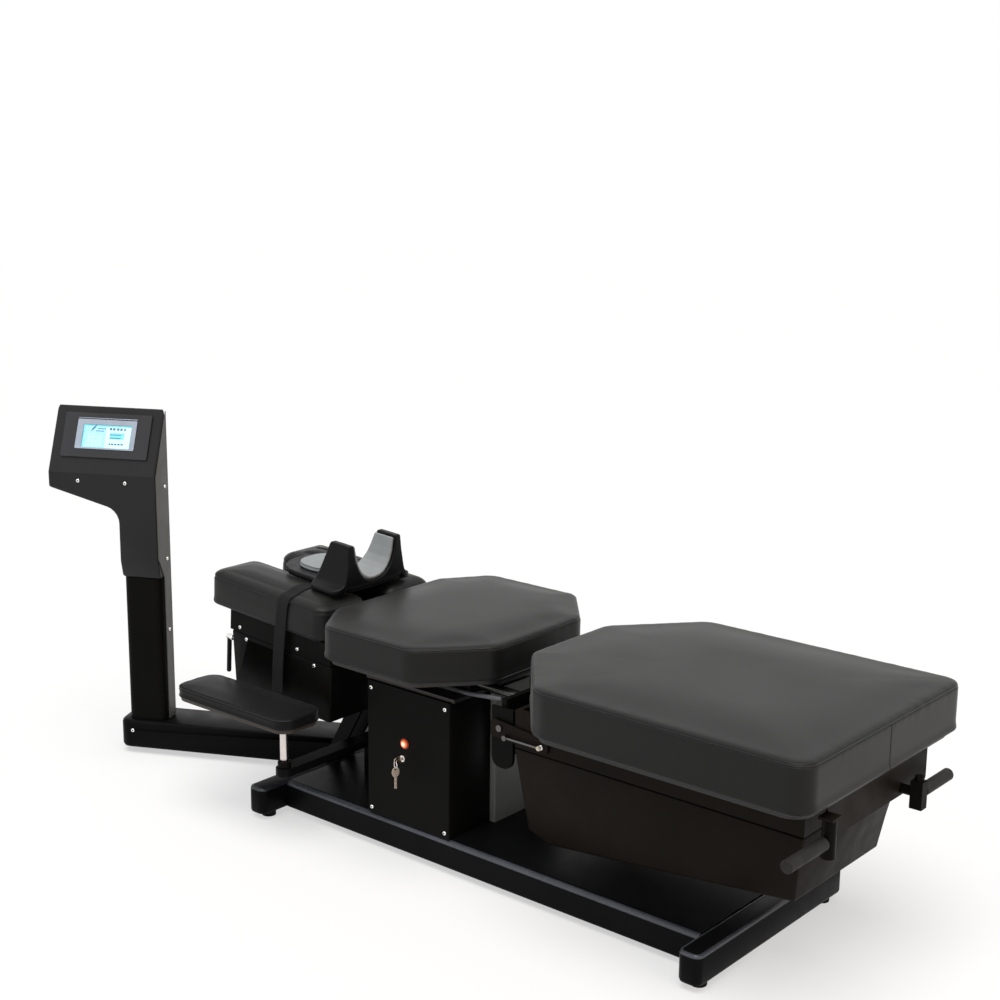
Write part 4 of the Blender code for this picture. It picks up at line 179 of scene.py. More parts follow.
class Graph(Nodes):
    """One material's nodes."""

    def __init__(self, name: str) -> None:
        """Start a material with one Principled shader.

        Args:
            name: The material's name.
        """
        self.material = bpy.data.materials.new(name)
        self.material.use_nodes = True
        super().__init__(self.material.node_tree)
        self.shader = self.tree.nodes["Principled BSDF"]

    def set(self, **values: object) -> None:
        """Set sockets of the shader, with underscores for spaces.

        Args:
            **values: A value for each socket.
        """
        for key, value in values.items():
            self.shader.inputs[key.replace("_", " ")].default_value = value

    def feed(self, output: Socket, socket: str) -> None:
        """Link an output to a socket of the shader."""
        self.tree.links.new(output, self.shader.inputs[socket])

    def place(self, stretch: Sequence[float] = (1, 1, 1), own: str = "Object") -> Socket:
        """Give the surface's coordinates, stretched along each axis.

        Args:
            stretch: How much finer the pattern gets along X, Y and Z.
            own: The coordinate's name: Object or UV.

        Returns:
            The vector output.
        """
        source = self.add("TexCoord").outputs[own]
        if tuple(stretch) == (1, 1, 1):
            return source
        return self.add("Mapping", {"Vector": source, "Scale": stretch}).outputs["Vector"]

    def cloud(self, place: Socket, scale: float, detail: float = 3.0) -> Socket:
        """Give soft noise from 0 to 1."""
        inputs = {"Vector": place, "Scale": scale, "Detail": detail}
        return self.add("TexNoise", inputs).outputs["Fac"]

    def spread(self, value: Socket, low: float, high: float) -> Socket:
        """Spread noise over a range of numbers."""
        inputs = {"Value": value, "From Min": 0.3, "From Max": 0.7, "To Min": low, "To Max": high}
        return self.add("MapRange", inputs).outputs["Result"]

    def blend(self, share: Socket, first: Colour, second: Colour) -> Socket:
        """Blend two colours by a share.

        Args:
            share: The output that chooses between them.
            first: The colour at a low share.
            second: The colour at a high share.

        Returns:
            The colour output.
        """
        ramp = self.add("ValToRGB", {"Fac": share})
        stops = zip(ramp.color_ramp.elements, (0.35, 0.68), (first, second))
        for stop, position, colour in stops:
            stop.position = position
            stop.color = (*colour, 1.0)
        return ramp.outputs["Color"]

    def tint(self, share: Socket, colour: Colour, gain: float) -> None:
        """Cloud the base colour with one that is lighter by a gain."""
        self.feed(self.blend(share, colour, lighter(colour, gain)), "Base Color")

    def dull(self, share: Socket, middle: float, down: float, up: float) -> None:
        """Vary the roughness about a middle value."""
        self.feed(self.spread(share, middle - down, middle + up), "Roughness")

    def relief(
        self, height: Socket, strength: float, depth: float, under: Socket | None = None
    ) -> Socket:
        """Give a bumped normal.

        Args:
            height: The height output.
            strength: How strongly it shows, from 0 to 1.
            depth: Its depth in metres.
            under: Another relief that it lies on.

        Returns:
            The normal output.
        """
        node = self.add("Bump", {"Height": height, "Strength": strength, "Distance": depth})
        if under is not None:
            self.tree.links.new(under, node.inputs["Normal"])
        return node.outputs["Normal"]


class Finish:
    """A surface finish that builds its material once."""

    name: str
    made: dict = {}

    def material(self) -> bpy.types.Material:
        """Give the finish's material, building it at first use.

        Returns:
            The material.
        """
        if self not in Finish.made:
            graph = Graph(self.name)
            self.lay(graph)
            Finish.made[self] = graph.material
        return Finish.made[self]

    def lay(self, graph: Graph) -> None:
        """Lay the finish's nodes."""
        raise NotImplementedError


def lighter(colour: Colour, gain: float) -> Colour:
    """Give a colour made lighter by a share of itself."""
    return tuple(min(1.0, part * (1.0 + gain)) for part in colour)


@dataclass(frozen=True)
class PowderCoat(Finish):
    """Satin powder coat on sheet steel, with a fine orange peel and dulled patches."""

    name: str
    colour: Colour
    roughness: float = 0.40
    peel: float = 1150.0
    spread: float = 0.22
    gloss: float = 0.16
    peel_depth: float = 0.00022
    patch_scale: float = 7.0
    dull_scale: float = 24.0
    sag_scale: float = 16.0
    sag_depth: float = 0.0012

    def lay(self, graph: Graph) -> None:
        """Lay the finish's nodes.

        Args:
            graph: The material's nodes.
        """
        place = graph.place()
        graph.tint(graph.cloud(place, self.patch_scale, 5.0), self.colour, self.spread)
        graph.dull(graph.cloud(place, self.dull_scale, 4.0), self.roughness, 0.05, 0.07)
        peel = graph.cloud(place, self.peel, 2.0)
        sag = graph.relief(graph.cloud(place, self.sag_scale, 2.0), 0.10, self.sag_depth)
        graph.feed(graph.relief(peel, 0.22, self.peel_depth, sag), "Normal")
        graph.set(Specular_IOR_Level=self.gloss)


@dataclass(frozen=True)
class Vinyl(Finish):
    """Upholstery vinyl with an embossed leather grain and a soft, handled sheen."""

    name: str
    colour: Colour
    roughness: float = 0.40
    grain: float = 620.0
    gloss: float = 0.155
    sheen: float = 0.11
    grain_depth: float = 0.0003
    slack_scale: float = 9.0
    slack_depth: float = 0.0024
    wear_scale: float = 3.0
    wear_gain: float = 0.12
    dull_scale: float = 5.0

    def lay(self, graph: Graph) -> None:
        """Lay the finish's nodes.

        Args:
            graph: The material's nodes.
        """
        place = graph.place()
        cells = graph.add(
            "TexVoronoi", {"Vector": place, "Scale": self.grain}, feature="DISTANCE_TO_EDGE"
        ).outputs["Distance"]
        pores = graph.cloud(place, self.grain * 2.2, 2.0)
        height = graph.sums(cells, graph.sums(pores, 0.35, "MULTIPLY"))
        slack = graph.relief(graph.cloud(place, self.slack_scale, 2.0), 0.10, self.slack_depth)
        graph.feed(graph.relief(height, 0.30, self.grain_depth, slack), "Normal")
        graph.tint(graph.cloud(place, self.wear_scale, 4.0), self.colour, self.wear_gain)
        graph.dull(graph.cloud(place, self.dull_scale, 3.0), self.roughness, 0.02, 0.03)
        graph.set(Specular_IOR_Level=self.gloss, Sheen_Weight=self.sheen, Sheen_Roughness=0.35)


@dataclass(frozen=True)
class Metal(Finish):
    """Bare or plated metal, brushed along one axis."""

    name: str
    colour: Colour
    roughness: float = 0.25
    stretch: Point3 = (1.0, 1.0, 1.0)
    marks: float = 260.0
    mark_depth: float = 0.0001
    haze_scale: float = 30.0
    haze_gain: float = 0.12

    def lay(self, graph: Graph) -> None:
        """Lay the finish's nodes.

        Args:
            graph: The material's nodes.
        """
        place = graph.place(self.stretch)
        lines = graph.cloud(place, self.marks, 4.0)
        graph.dull(lines, self.roughness, 0.06, 0.09)
        haze = graph.cloud(graph.place(), self.haze_scale, 4.0)
        graph.tint(haze, self.colour, self.haze_gain)
        graph.feed(graph.relief(lines, 0.10, self.mark_depth), "Normal")
        graph.set(Metallic=1.0)


@dataclass(frozen=True)
class Moulding(Finish):
    """Moulded plastic, rubber or foam with a spark-eroded grain."""

    name: str
    colour: Colour
    roughness: float = 0.42
    grain: float = 900.0
    depth: float = 0.00025
    spread: float = 0.18
    gloss: float = 0.40
    haze_scale: float = 22.0
    dull_scale: float = 40.0

    def lay(self, graph: Graph) -> None:
        """Lay the finish's nodes.

        Args:
            graph: The material's nodes.
        """
        place = graph.place()
        graph.tint(graph.cloud(place, self.haze_scale, 4.0), self.colour, self.spread)
        graph.dull(graph.cloud(place, self.dull_scale, 4.0), self.roughness, 0.05, 0.08)
        graph.feed(graph.relief(graph.cloud(place, self.grain, 3.0), 0.35, self.depth), "Normal")
        graph.set(Specular_IOR_Level=self.gloss)


@dataclass(frozen=True)
class Board(Finish):
    """Stained plywood with a long grain."""

    name: str
    colour: Colour
    dark: Colour
    stretch: Point3 = (3.0, 40.0, 260.0)
    scale: float = 2.4
    depth: float = 0.0003

    def lay(self, graph: Graph) -> None:
        """Lay the finish's nodes.

        Args:
            graph: The material's nodes.
        """
        grain = graph.cloud(graph.place(self.stretch), self.scale, 6.0)
        graph.feed(graph.blend(grain, self.dark, self.colour), "Base Color")
        graph.feed(graph.spread(grain, 0.50, 0.68), "Roughness")
        graph.feed(graph.relief(grain, 0.30, self.depth), "Normal")


@dataclass(frozen=True)
class Weave(Finish):
    """Woven or braided yarn that follows the piece's own UV map, in metres, with its crests
    painted lighter and its hollows darker as painted highlight and shade.
    """

    name: str
    colour: Colour
    light: Colour
    across: float
    along: float
    crossed: bool = False
    roughness: float = 0.78
    fuzz_scale: float = 1800.0
    depth: float = 0.0004

    def lay(self, graph: Graph) -> None:
        """Lay the finish's nodes.

        Args:
            graph: The material's nodes.
        """
        place = graph.place((self.across, self.along, 1.0), "UV")
        split = graph.add("SeparateXYZ", {"Vector": place})
        first, second = split.outputs["X"], split.outputs["Y"]
        if self.crossed:
            total = graph.sums(first, second)
            second = graph.sums(first, second, "SUBTRACT")
            first = total
        one = graph.sums(graph.sums(first, math.tau, "MULTIPLY"), 0.0, "SINE")
        two = graph.sums(graph.sums(second, math.tau, "MULTIPLY"), 0.0, "SINE")
        yarn = graph.sums(graph.sums(graph.sums(one, two, "MULTIPLY"), 0.5, "MULTIPLY"), 0.5)
        fuzz = graph.cloud(graph.place(), self.fuzz_scale, 2.0)
        height = graph.sums(yarn, graph.sums(fuzz, 0.4, "MULTIPLY"))
        share = graph.sums(graph.sums(height, 0.6, "MULTIPLY"), 0.25)
        # The yarn crests take the lighter colour and the hollows between yarns the darker one:
        # painted highlight and shade at the weave's scale.
        graph.feed(graph.blend(share, self.colour, self.light), "Base Color")
        graph.dull(fuzz, self.roughness, 0.06, 0.08)
        graph.feed(graph.relief(height, 0.55, self.depth), "Normal")
        graph.set(Sheen_Weight=0.03, Specular_IOR_Level=0.12)


@dataclass(frozen=True)
class Glow(Finish):
    """A lit surface, brightest in its middle, with a soft mottle."""

    name: str
    colour: Colour
    light: Colour
    strength: float
    centre: Point3 = (0.0, 0.0, 0.0)
    reach: float = 0.0
    mottle_scale: float = 160.0

    def lay(self, graph: Graph) -> None:
        """Lay the finish's nodes.

        Args:
            graph: The material's nodes.
        """
        place = graph.place()
        mottle = graph.cloud(place, self.mottle_scale)
        if self.reach > 0:
            away = graph.add("VectorMath", operation="DISTANCE")
            graph.tree.links.new(place, away.inputs[0])
            away.inputs[1].default_value = self.centre
            inputs = {"Value": away.outputs["Value"], "From Max": self.reach}
            inputs |= {"To Min": 0.25, "To Max": 0.78}
            share = graph.add("MapRange", inputs).outputs["Result"]
            colour = graph.blend(share, self.light, self.colour)
        else:
            colour = graph.blend(mottle, self.colour, self.light)
        graph.feed(colour, "Base Color")
        graph.feed(colour, "Emission Color")
        graph.feed(graph.spread(mottle, 0.18, 0.26), "Roughness")
        graph.set(Emission_Strength=self.strength)


BLACK_COAT = PowderCoat("satin_black_powder_coat", (0.0036, 0.0033, 0.0030), gloss=0.04)
# Black powder coat tinted warm brown: the tint is a painted warm reflection of the room, laid
# over the black coat.
WARM_REFLECTION_COAT = PowderCoat("warm_black_powder_coat", (0.0085, 0.0064, 0.0047), 0.44, gloss=0.045)
FLOOR_COAT = PowderCoat(
    "floor_frame_powder_coat", (0.0030, 0.0031, 0.0034), 0.34, 620.0, 0.5, 0.04, 0.0005
)
# A lighter, bluish, glossier coat for the floor frame's upward-tilted bevel faces: a painted
# highlight where the edges catch the overhead light.
EDGE_HIGHLIGHT_COAT = PowderCoat(
    "floor_frame_edge_coat", (0.022, 0.024, 0.030), 0.26, 300.0, 1.4, 0.40, 0.0022
)
CONSOLE_COAT = PowderCoat("console_powder_coat", (0.0125, 0.0125, 0.0132), 0.38, gloss=0.20)
BEZEL_COAT = PowderCoat("bezel_black_coat", (0.022, 0.022, 0.024), 0.34, gloss=0.30)
GREY_COAT = PowderCoat("grey_side_cover_coat", (0.075, 0.073, 0.066), 0.45, 900.0, 0.12, 0.30)
COLUMN_COAT = PowderCoat("pale_column_coat", (0.15, 0.157, 0.147), 0.45, 900.0, 0.12, 0.25)
TOP_VINYL = Vinyl("black_grey_vinyl", (0.0085, 0.0085, 0.0082))
PAD_VINYL = Vinyl("arm_pad_vinyl", (0.0060, 0.0060, 0.0063), 0.42, 620.0, 0.08)
WELT_VINYL = Vinyl("welt_vinyl", (0.0085, 0.0085, 0.0085), 0.34, 900.0, 0.30)
CHROME = Metal("bright_chrome", (0.80, 0.80, 0.79), 0.12)
POST_STEEL = Metal("drawn_steel_post", (0.66, 0.60, 0.57), 0.22, (1.0, 1.0, 0.05))
BAR_STEEL = Metal("blackened_slide_bar", (0.085, 0.083, 0.080), 0.24, (0.04, 1.0, 1.0))
ROD_STEEL = Metal("dark_polished_rod", (0.11, 0.108, 0.105), 0.20, (0.04, 1.0, 1.0))
KEY_NICKEL = Metal("warm_nickel_key", (0.56, 0.45, 0.36), 0.30)
DARK_STEEL = Metal("blackened_steel", (0.040, 0.038, 0.037), 0.42)
SCREEN_METAL = Metal("satin_aluminium_frame", (0.30, 0.33, 0.38), 0.36, (18.0, 1.0, 1.0))
HEADPIECE_PLASTIC = Moulding("black_moulded_plastic", (0.0033, 0.0033, 0.0037), 0.36, gloss=0.12)
SMALL_PLASTIC = Moulding("black_plastic", (0.007, 0.007, 0.0075), 0.40, gloss=0.14)
LINER_FOAM = Moulding("light_grey_liner_foam", (0.27, 0.285, 0.29), 0.60, 1500.0, 0.00035, 0.10)
GRIP_RUBBER = Moulding(
    "grey_black_grip_rubber", (0.0165, 0.0155, 0.0145), 0.62, 1300.0, 0.0004, 0.3, 0.16
)
FOOT_RUBBER = Moulding("foot_rubber", (0.006, 0.006, 0.006), 0.66, gloss=0.1)
IVORY = Moulding("ivory_ball_knob", (0.66, 0.60, 0.48), 0.20, 300.0, 0.00005, 0.06)
STAINED_BOARD = Board("stained_plywood", (0.050, 0.032, 0.022), (0.018, 0.012, 0.009))
BLACK_BOARD = Board("black_plywood", (0.016, 0.014, 0.013), (0.008, 0.007, 0.007))
# Both weaves give their yarn crests the light colour as a painted highlight, and their hollows
# the dark colour as painted shade.
WEBBING = Weave("black_webbing", (0.003, 0.003, 0.0035), (0.011, 0.011, 0.012), 520.0, 420.0)
BRAID = Weave(
    "braided_hose_cover", (0.004, 0.004, 0.005), (0.13, 0.13, 0.14), 8.0, 150.0, True, 0.5
)


# ---------------------------------------------------------------------------
# The bench: shared ways of making and dressing a piece
# ---------------------------------------------------------------------------


class Bench:
    """Operators and dressing steps that every sub-assembly uses."""

    @staticmethod
    def drop() -> None:
        """Leave edit mode and deselect everything."""
        if bpy.context.object and bpy.context.object.mode != "OBJECT":
            bpy.ops.object.mode_set(mode="OBJECT")
        bpy.ops.object.select_all(action="DESELECT")

    @staticmethod
    def pick(piece: Piece) -> None:
        """Make one piece the only selected and active one.

        Args:
            piece: The piece.
        """
        Bench.drop()
        piece.select_set(True)
        bpy.context.view_layer.objects.active = piece

    @staticmethod
    def link(name: str, data: bpy.types.ID) -> Piece:
        """Put an object of some data into the scene.

        Args:
            name: The object's name.
            data: Its mesh, curve, light or camera.

        Returns:
            The new object.
        """
        piece = bpy.data.objects.new(name, data)
        bpy.context.scene.collection.objects.link(piece)
        return piece

    @staticmethod
    def claim(name: str) -> Piece:
        """Name the object that an operator just added, and settle it.

        Args:
            name: The object's name.

        Returns:
            The object.
        """
        piece = bpy.context.object
        piece.name = name
        Bench.settle(piece)
        return piece

    @staticmethod
    def turned(name: str, radius: float, start: float, end: float, sides: int = ROUND) -> Piece:
        """Add a round bar along Z.

        Args:
            name: The piece's name.
            radius: Its radius.
            start: Its lower end.
            end: Its upper end.
            sides: How many sides it has.

        Returns:
            The new piece.
        """
        Bench.drop()
        middle = (0.0, 0.0, (start + end) / 2)
        bpy.ops.mesh.primitive_cylinder_add(
            vertices=sides, radius=radius, depth=end - start, location=middle
        )
        return Bench.claim(name)

    @staticmethod
    def settle(piece: Piece, matrix: Matrix | None = None) -> None:
        """Move an object's place into its mesh, and then by a matrix.

        Args:
            piece: The object.
            matrix: A further move in the part's frame.
        """
        bpy.context.view_layer.update()
        piece.data.transform(piece.matrix_world)
        piece.matrix_world = Matrix.Identity(4)
        if matrix is not None:
            piece.data.transform(matrix)

    @staticmethod
    def select_faces(piece: Piece, test: Callable[[Vector], bool]) -> None:
        """Enter edit mode with some faces selected.

        Args:
            piece: The piece.
            test: Says of a face's normal whether the face is selected.
        """
        Bench.pick(piece)
        bpy.ops.object.mode_set(mode="EDIT")
        bpy.ops.mesh.select_mode(type="FACE")
        bpy.ops.mesh.select_all(action="DESELECT")
        mesh = bmesh.from_edit_mesh(piece.data)
        for face in mesh.faces:
            if test(face.normal):
                face.select = True
        mesh.select_flush(True)
        bmesh.update_edit_mesh(piece.data)

    @staticmethod
    def push(depth: float) -> None:
        """Push the selected faces out, and leave edit mode."""
        bpy.ops.mesh.extrude_region_shrink_fatten(TRANSFORM_OT_shrink_fatten={"value": depth})
        bpy.ops.object.mode_set(mode="OBJECT")

    @staticmethod
    def cap(piece: Piece, *steps: Point2, both: bool = False, steep: float = 0.9) -> None:
        """Inset the end of a turned piece in steps.

        Args:
            piece: A piece along Z.
            *steps: Each step's width and how far it lifts the rest.
            both: Whether the lower end gets the steps too.
            steep: The least slope of an end face's normal.
        """
        Bench.select_faces(piece, lambda normal: (abs(normal.z) if both else normal.z) > steep)
        for width, lift in steps:
            bpy.ops.mesh.inset(thickness=width, depth=lift)
        bpy.ops.object.mode_set(mode="OBJECT")

    @staticmethod
    def bevel_cap(piece: Piece, width: float, segments: int) -> None:
        """Round the rim at the upper end of a turned piece.

        Args:
            piece: A piece along Z.
            width: The width of the rounding.
            segments: How many faces it takes.
        """
        Bench.select_faces(piece, lambda normal: normal.z > 0.9)
        bpy.ops.mesh.bevel(offset=width, segments=segments, affect="EDGES")
        bpy.ops.object.mode_set(mode="OBJECT")

    @staticmethod
    def apply(piece: Piece, kind: str, **settings: object) -> None:
        """Add a modifier and apply it.

        Args:
            piece: The piece.
            kind: The modifier's type.
            **settings: The modifier's settings.
        """
        Bench.pick(piece)
        change = piece.modifiers.new(kind.lower(), kind)
        for key, value in settings.items():
            setattr(change, key, value)
        bpy.ops.object.modifier_apply(modifier=change.name)

    @staticmethod
    def round_edges(piece: Piece, width: float, segments: int = 3, angle: float = 35.0) -> None:
        """Round the hard edges.

        Args:
            piece: The piece.
            width: The width of the rounding.
            segments: How many faces it takes.
            angle: The least angle in degrees of a hard edge.
        """
        Bench.apply(
            piece,
            "BEVEL",
            width=width,
            segments=segments,
            limit_method="ANGLE",
            angle_limit=math.radians(angle),
            use_clamp_overlap=True,
            harden_normals=False,
        )

    @staticmethod
    def join(piece: Piece, other: Piece, operation: str) -> None:
        """Join a piece with another by a boolean, and drop the other."""
        Bench.apply(piece, "BOOLEAN", object=other, operation=operation, solver="EXACT")
        Bench.discard(other)

    @staticmethod
    def mould(piece: Piece, voxel: float, passes: int) -> None:
        """Remesh a piece finely and soften it."""
        Bench.apply(piece, "REMESH", mode="VOXEL", voxel_size=voxel, adaptivity=0.0)
        Bench.apply(piece, "SMOOTH", factor=0.5, iterations=passes)

    @staticmethod
    def smooth(piece: Piece, angle: float = 38.0) -> None:
        """Shade smooth, with sharp edges past an angle."""
        Bench.pick(piece)
        bpy.ops.object.shade_smooth_by_angle(angle=math.radians(angle))

    @staticmethod
    def soften(piece: Piece) -> None:
        """Shade smooth all over."""
        Bench.pick(piece)
        bpy.ops.object.shade_smooth()

    @staticmethod
    def outward(piece: Piece, flatten: bool = False) -> None:
        """Merge doubles and turn every face outwards.

        Args:
            piece: The piece.
            flatten: Whether flat neighbouring faces are merged too.
        """
        Bench.pick(piece)
        bpy.ops.object.mode_set(mode="EDIT")
        bpy.ops.mesh.select_all(action="SELECT")
        bpy.ops.mesh.remove_doubles(threshold=MERGE)
        if flatten:
            bpy.ops.mesh.dissolve_limited(angle_limit=FLAT_ANGLE)
        bpy.ops.mesh.normals_make_consistent(inside=False)
        bpy.ops.object.mode_set(mode="OBJECT")

    @staticmethod
    def dress(
        piece: Piece, body: str | None, slot: str, finish: Finish, replaces: Sequence[str] = ()
    ) -> Piece:
        """Give a piece its finish and body, and log its material slot.

        Args:
            piece: The finished piece.
            body: The CAD body that it rides on, or None for a piece that bends between two.
            slot: The record's material slot.
            finish: Its finish.
            replaces: CAD nodes that it stands for.

        Returns:
            The piece.
        """
        if not piece.data.materials:
            piece.data.materials.append(finish.material())
        if body:
            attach(piece, body)
        if replaces:
            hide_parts(*replaces)
        LOG.info("%s rides on %s in %s", piece.name, body or "two bodies", slot)
        return piece

    @staticmethod
    def fit(
        piece: Piece,
        place: Matrix,
        body: str,
        slot: str,
        finish: Finish,
        replaces: Sequence[str] = (),
        angle: float = 38.0,
    ) -> Piece:
        """Move a piece to its place, shade it and dress it.

        Args:
            piece: The finished piece.
            place: Its place in the part's frame.
            body: The CAD body that it rides on.
            slot: The record's material slot.
            finish: Its finish.
            replaces: CAD nodes that it stands for.
            angle: The angle in degrees past which an edge stays sharp.

        Returns:
            The piece.
        """
        Bench.settle(piece, place)
        Bench.smooth(piece, angle)
        return Bench.dress(piece, body, slot, finish, replaces)

    @staticmethod
    def from_mesh(name: str, mesh: bmesh.types.BMesh) -> Piece:
        """Make a piece of a bmesh, which is freed.

        Args:
            name: The piece's name.
            mesh: The bmesh.

        Returns:
            The piece.
        """
        data = bpy.data.meshes.new(name)
        mesh.to_mesh(data)
        mesh.free()
        return Bench.link(name, data)

    @staticmethod
    def solid_copy(node: str, suffix: str = "_shell") -> Piece:
        """Copy a CAD node's solid with its loose triangles merged into whole faces.

        Args:
            node: The CAD node.
            suffix: What follows the node's name in the copy's.

        Returns:
            The copy.
        """
        data = frame["nodes"][node].data.copy()
        data.materials.clear()
        piece = Bench.link(node + suffix, data)
        Bench.outward(piece, flatten=True)
        return piece

    @staticmethod
    def thread(
        name: str, points: Sequence[Sequence[float]], radius: float, rounding: int, closed: bool
    ) -> Piece:
        """Draw a round cord through points.

        Args:
            name: The cord's name.
            points: The points.
            radius: The cord's radius.
            rounding: How finely its section is rounded.
            closed: Whether it runs back to its first point.

        Returns:
            The cord as a mesh.
        """
        curve = bpy.data.curves.new(name, "CURVE")
        curve.dimensions = "3D"
        curve.bevel_depth = radius
        curve.bevel_resolution = rounding
        curve.use_fill_caps = not closed
        spline = curve.splines.new("POLY")
        spline.use_cyclic_u = closed
        spline.points.add(len(points) - 1)
        for point, spot in zip(spline.points, points):
            point.co = (*spot, 1.0)
        piece = Bench.link(name, curve)
        Bench.pick(piece)
        bpy.ops.object.convert(target="MESH")
        Bench.outward(piece)
        return piece

    @staticmethod
    def repeat(name: str, pattern: Piece, places: Sequence[Matrix]) -> Piece:
        """Copy a pattern piece to several places as one piece, and drop the pattern.

        Args:
            name: The new piece's name.
            pattern: The piece that repeats.
            places: A matrix for each copy.

        Returns:
            The joined piece.
        """
        whole = bmesh.new()
        for place in places:
            data = pattern.data.copy()
            data.transform(place)
            whole.from_mesh(data)
            bpy.data.meshes.remove(data)
        piece = Bench.from_mesh(name, whole)
        for slot in pattern.data.materials:
            piece.data.materials.append(slot)
        Bench.discard(pattern)
        Bench.smooth(piece)
        return piece

    @staticmethod
    def discard(piece: Piece) -> None:
        """Remove a helper piece and its mesh.

        Args:
            piece: The piece.
        """
        data = piece.data
        bpy.data.objects.remove(piece, do_unlink=True)
        bpy.data.meshes.remove(data)

    @staticmethod
    def paint(
        piece: Piece, finish: Finish, test: Callable[[bpy.types.MeshPolygon], bool]
    ) -> None:
        """Give some faces a further finish.

        Args:
            piece: The piece.
            finish: The finish.
            test: Says of a face whether it gets the finish.
        """
        piece.data.materials.append(finish.material())
        index = len(piece.data.materials) - 1
        for face in piece.data.polygons:
            if test(face):
                face.material_index = index

    @staticmethod
    def middle(node: str) -> tuple[Vector, Point3]:
        """Give the centre and the half sizes of a CAD node's box."""
        low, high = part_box(node)
        return (low + high) / 2, tuple((b - a) / 2 for a, b in zip(low, high))


@dataclass
class Shell:
    """A sheet-metal or solid part whose CAD form is right: merged, edge-rounded and coated."""

    node: str
    slot: str
    finish: Finish
    edge: float = 0.0010
    segments: int = 2
    angle: float = 38.0
    feet: bool = False
    foot_height: float = 0.0149

    def build(self) -> Piece:
        """Make the piece in place of its CAD node.

        Returns:
            The piece.
        """
        piece = Bench.solid_copy(self.node)
        if self.edge > 0:
            Bench.round_edges(piece, self.edge, self.segments)
        Bench.smooth(piece, self.angle)
        if self.edge > 0:
            Bench.apply(piece, "WEIGHTED_NORMAL", keep_sharp=True, weight=80)
        piece.data.materials.append(self.finish.material())
        if self.feet:
            Bench.paint(piece, FOOT_RUBBER, lambda face: face.center.z < self.foot_height)
        body = frame["nodes"][self.node]["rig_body"]
        return Bench.dress(piece, body, self.slot, self.finish, (self.node,))


@dataclass
class ButtonScrew:
    """A button-head screw with a hexagon socket, pointing up Z from its seat."""

    radius: float = 0.0052
    height: float = 0.0034
    socket: float = 0.0022
    depth: float = 0.0016
    sink: float = 0.0004
    sides: int = 36
    rounding: float = 0.62

    def build(self) -> Piece:
        """Model one screw head at the origin.

        Returns:
            The screw head.
        """
        piece = Bench.turned("screw", self.radius, -self.sink, self.height, self.sides)
        Bench.bevel_cap(piece, self.height * self.rounding, 5)
        Bench.drop()
        bpy.ops.mesh.primitive_cylinder_add(
            vertices=6, radius=self.socket, depth=self.depth * 2, location=(0, 0, self.height)
        )
        Bench.join(piece, Bench.claim("socket_drill"), "DIFFERENCE")
        Bench.smooth(piece)
        piece.data.materials.append(CHROME.material())
        return piece

    def row(self, name: str, body: str, places: Sequence[Matrix]) -> Piece:
        """Set screws in a row of places on one body.

        Args:
            name: The piece's name.
            body: The body they hold.
            places: A matrix for each, Z outwards.

        Returns:
            The piece.
        """
        return Bench.dress(Bench.repeat(name, self.build(), places), body, "chrome", CHROME)


def facing(base: Matrix, spot: Sequence[float], outward: Sequence[float]) -> Matrix:
    """Give a place whose Z axis points along a direction of a frame.

    Args:
        base: The frame's matrix.
        spot: The place in that frame.
        outward: The direction in that frame.

    Returns:
        The matrix of the place.
    """
    turn = Vector((0.0, 0.0, 1.0)).rotation_difference(Vector(outward)).to_matrix().to_4x4()
    return base @ Matrix.Translation(Vector(spot)) @ turn


# ---------------------------------------------------------------------------
# Upholstery
# ---------------------------------------------------------------------------


def inset_outline(corners: Sequence[Point2], distance: float) -> list[Vector]:
    """Move every edge of an anticlockwise outline inwards.

    Args:
        corners: The outline's corners.
        distance: How far, in metres.

    Returns:
        The moved corners.
    """
    count = len(corners)
    lines = []
    for index in range(count):
        start = Vector(corners[index])
        along = (Vector(corners[(index + 1) % count]) - start).normalized()
        lines.append((start + Vector((-along.y, along.x)) * distance, along))
    moved = []
    for (base, along), (other, ahead) in zip([lines[-1], *lines], lines):
        cross = along.x * ahead.y - along.y * ahead.x
        offset = other - base
        moved.append(base + along * ((offset.x * ahead.y - offset.y * ahead.x) / cross))
    return moved


def rectangle(xs: Point2, ys: Point2) -> tuple[Point2, ...]:
    """Give a rectangle's corners, anticlockwise."""
    return ((xs[0], ys[0]), (xs[1], ys[0]), (xs[1], ys[1]), (xs[0], ys[1]))


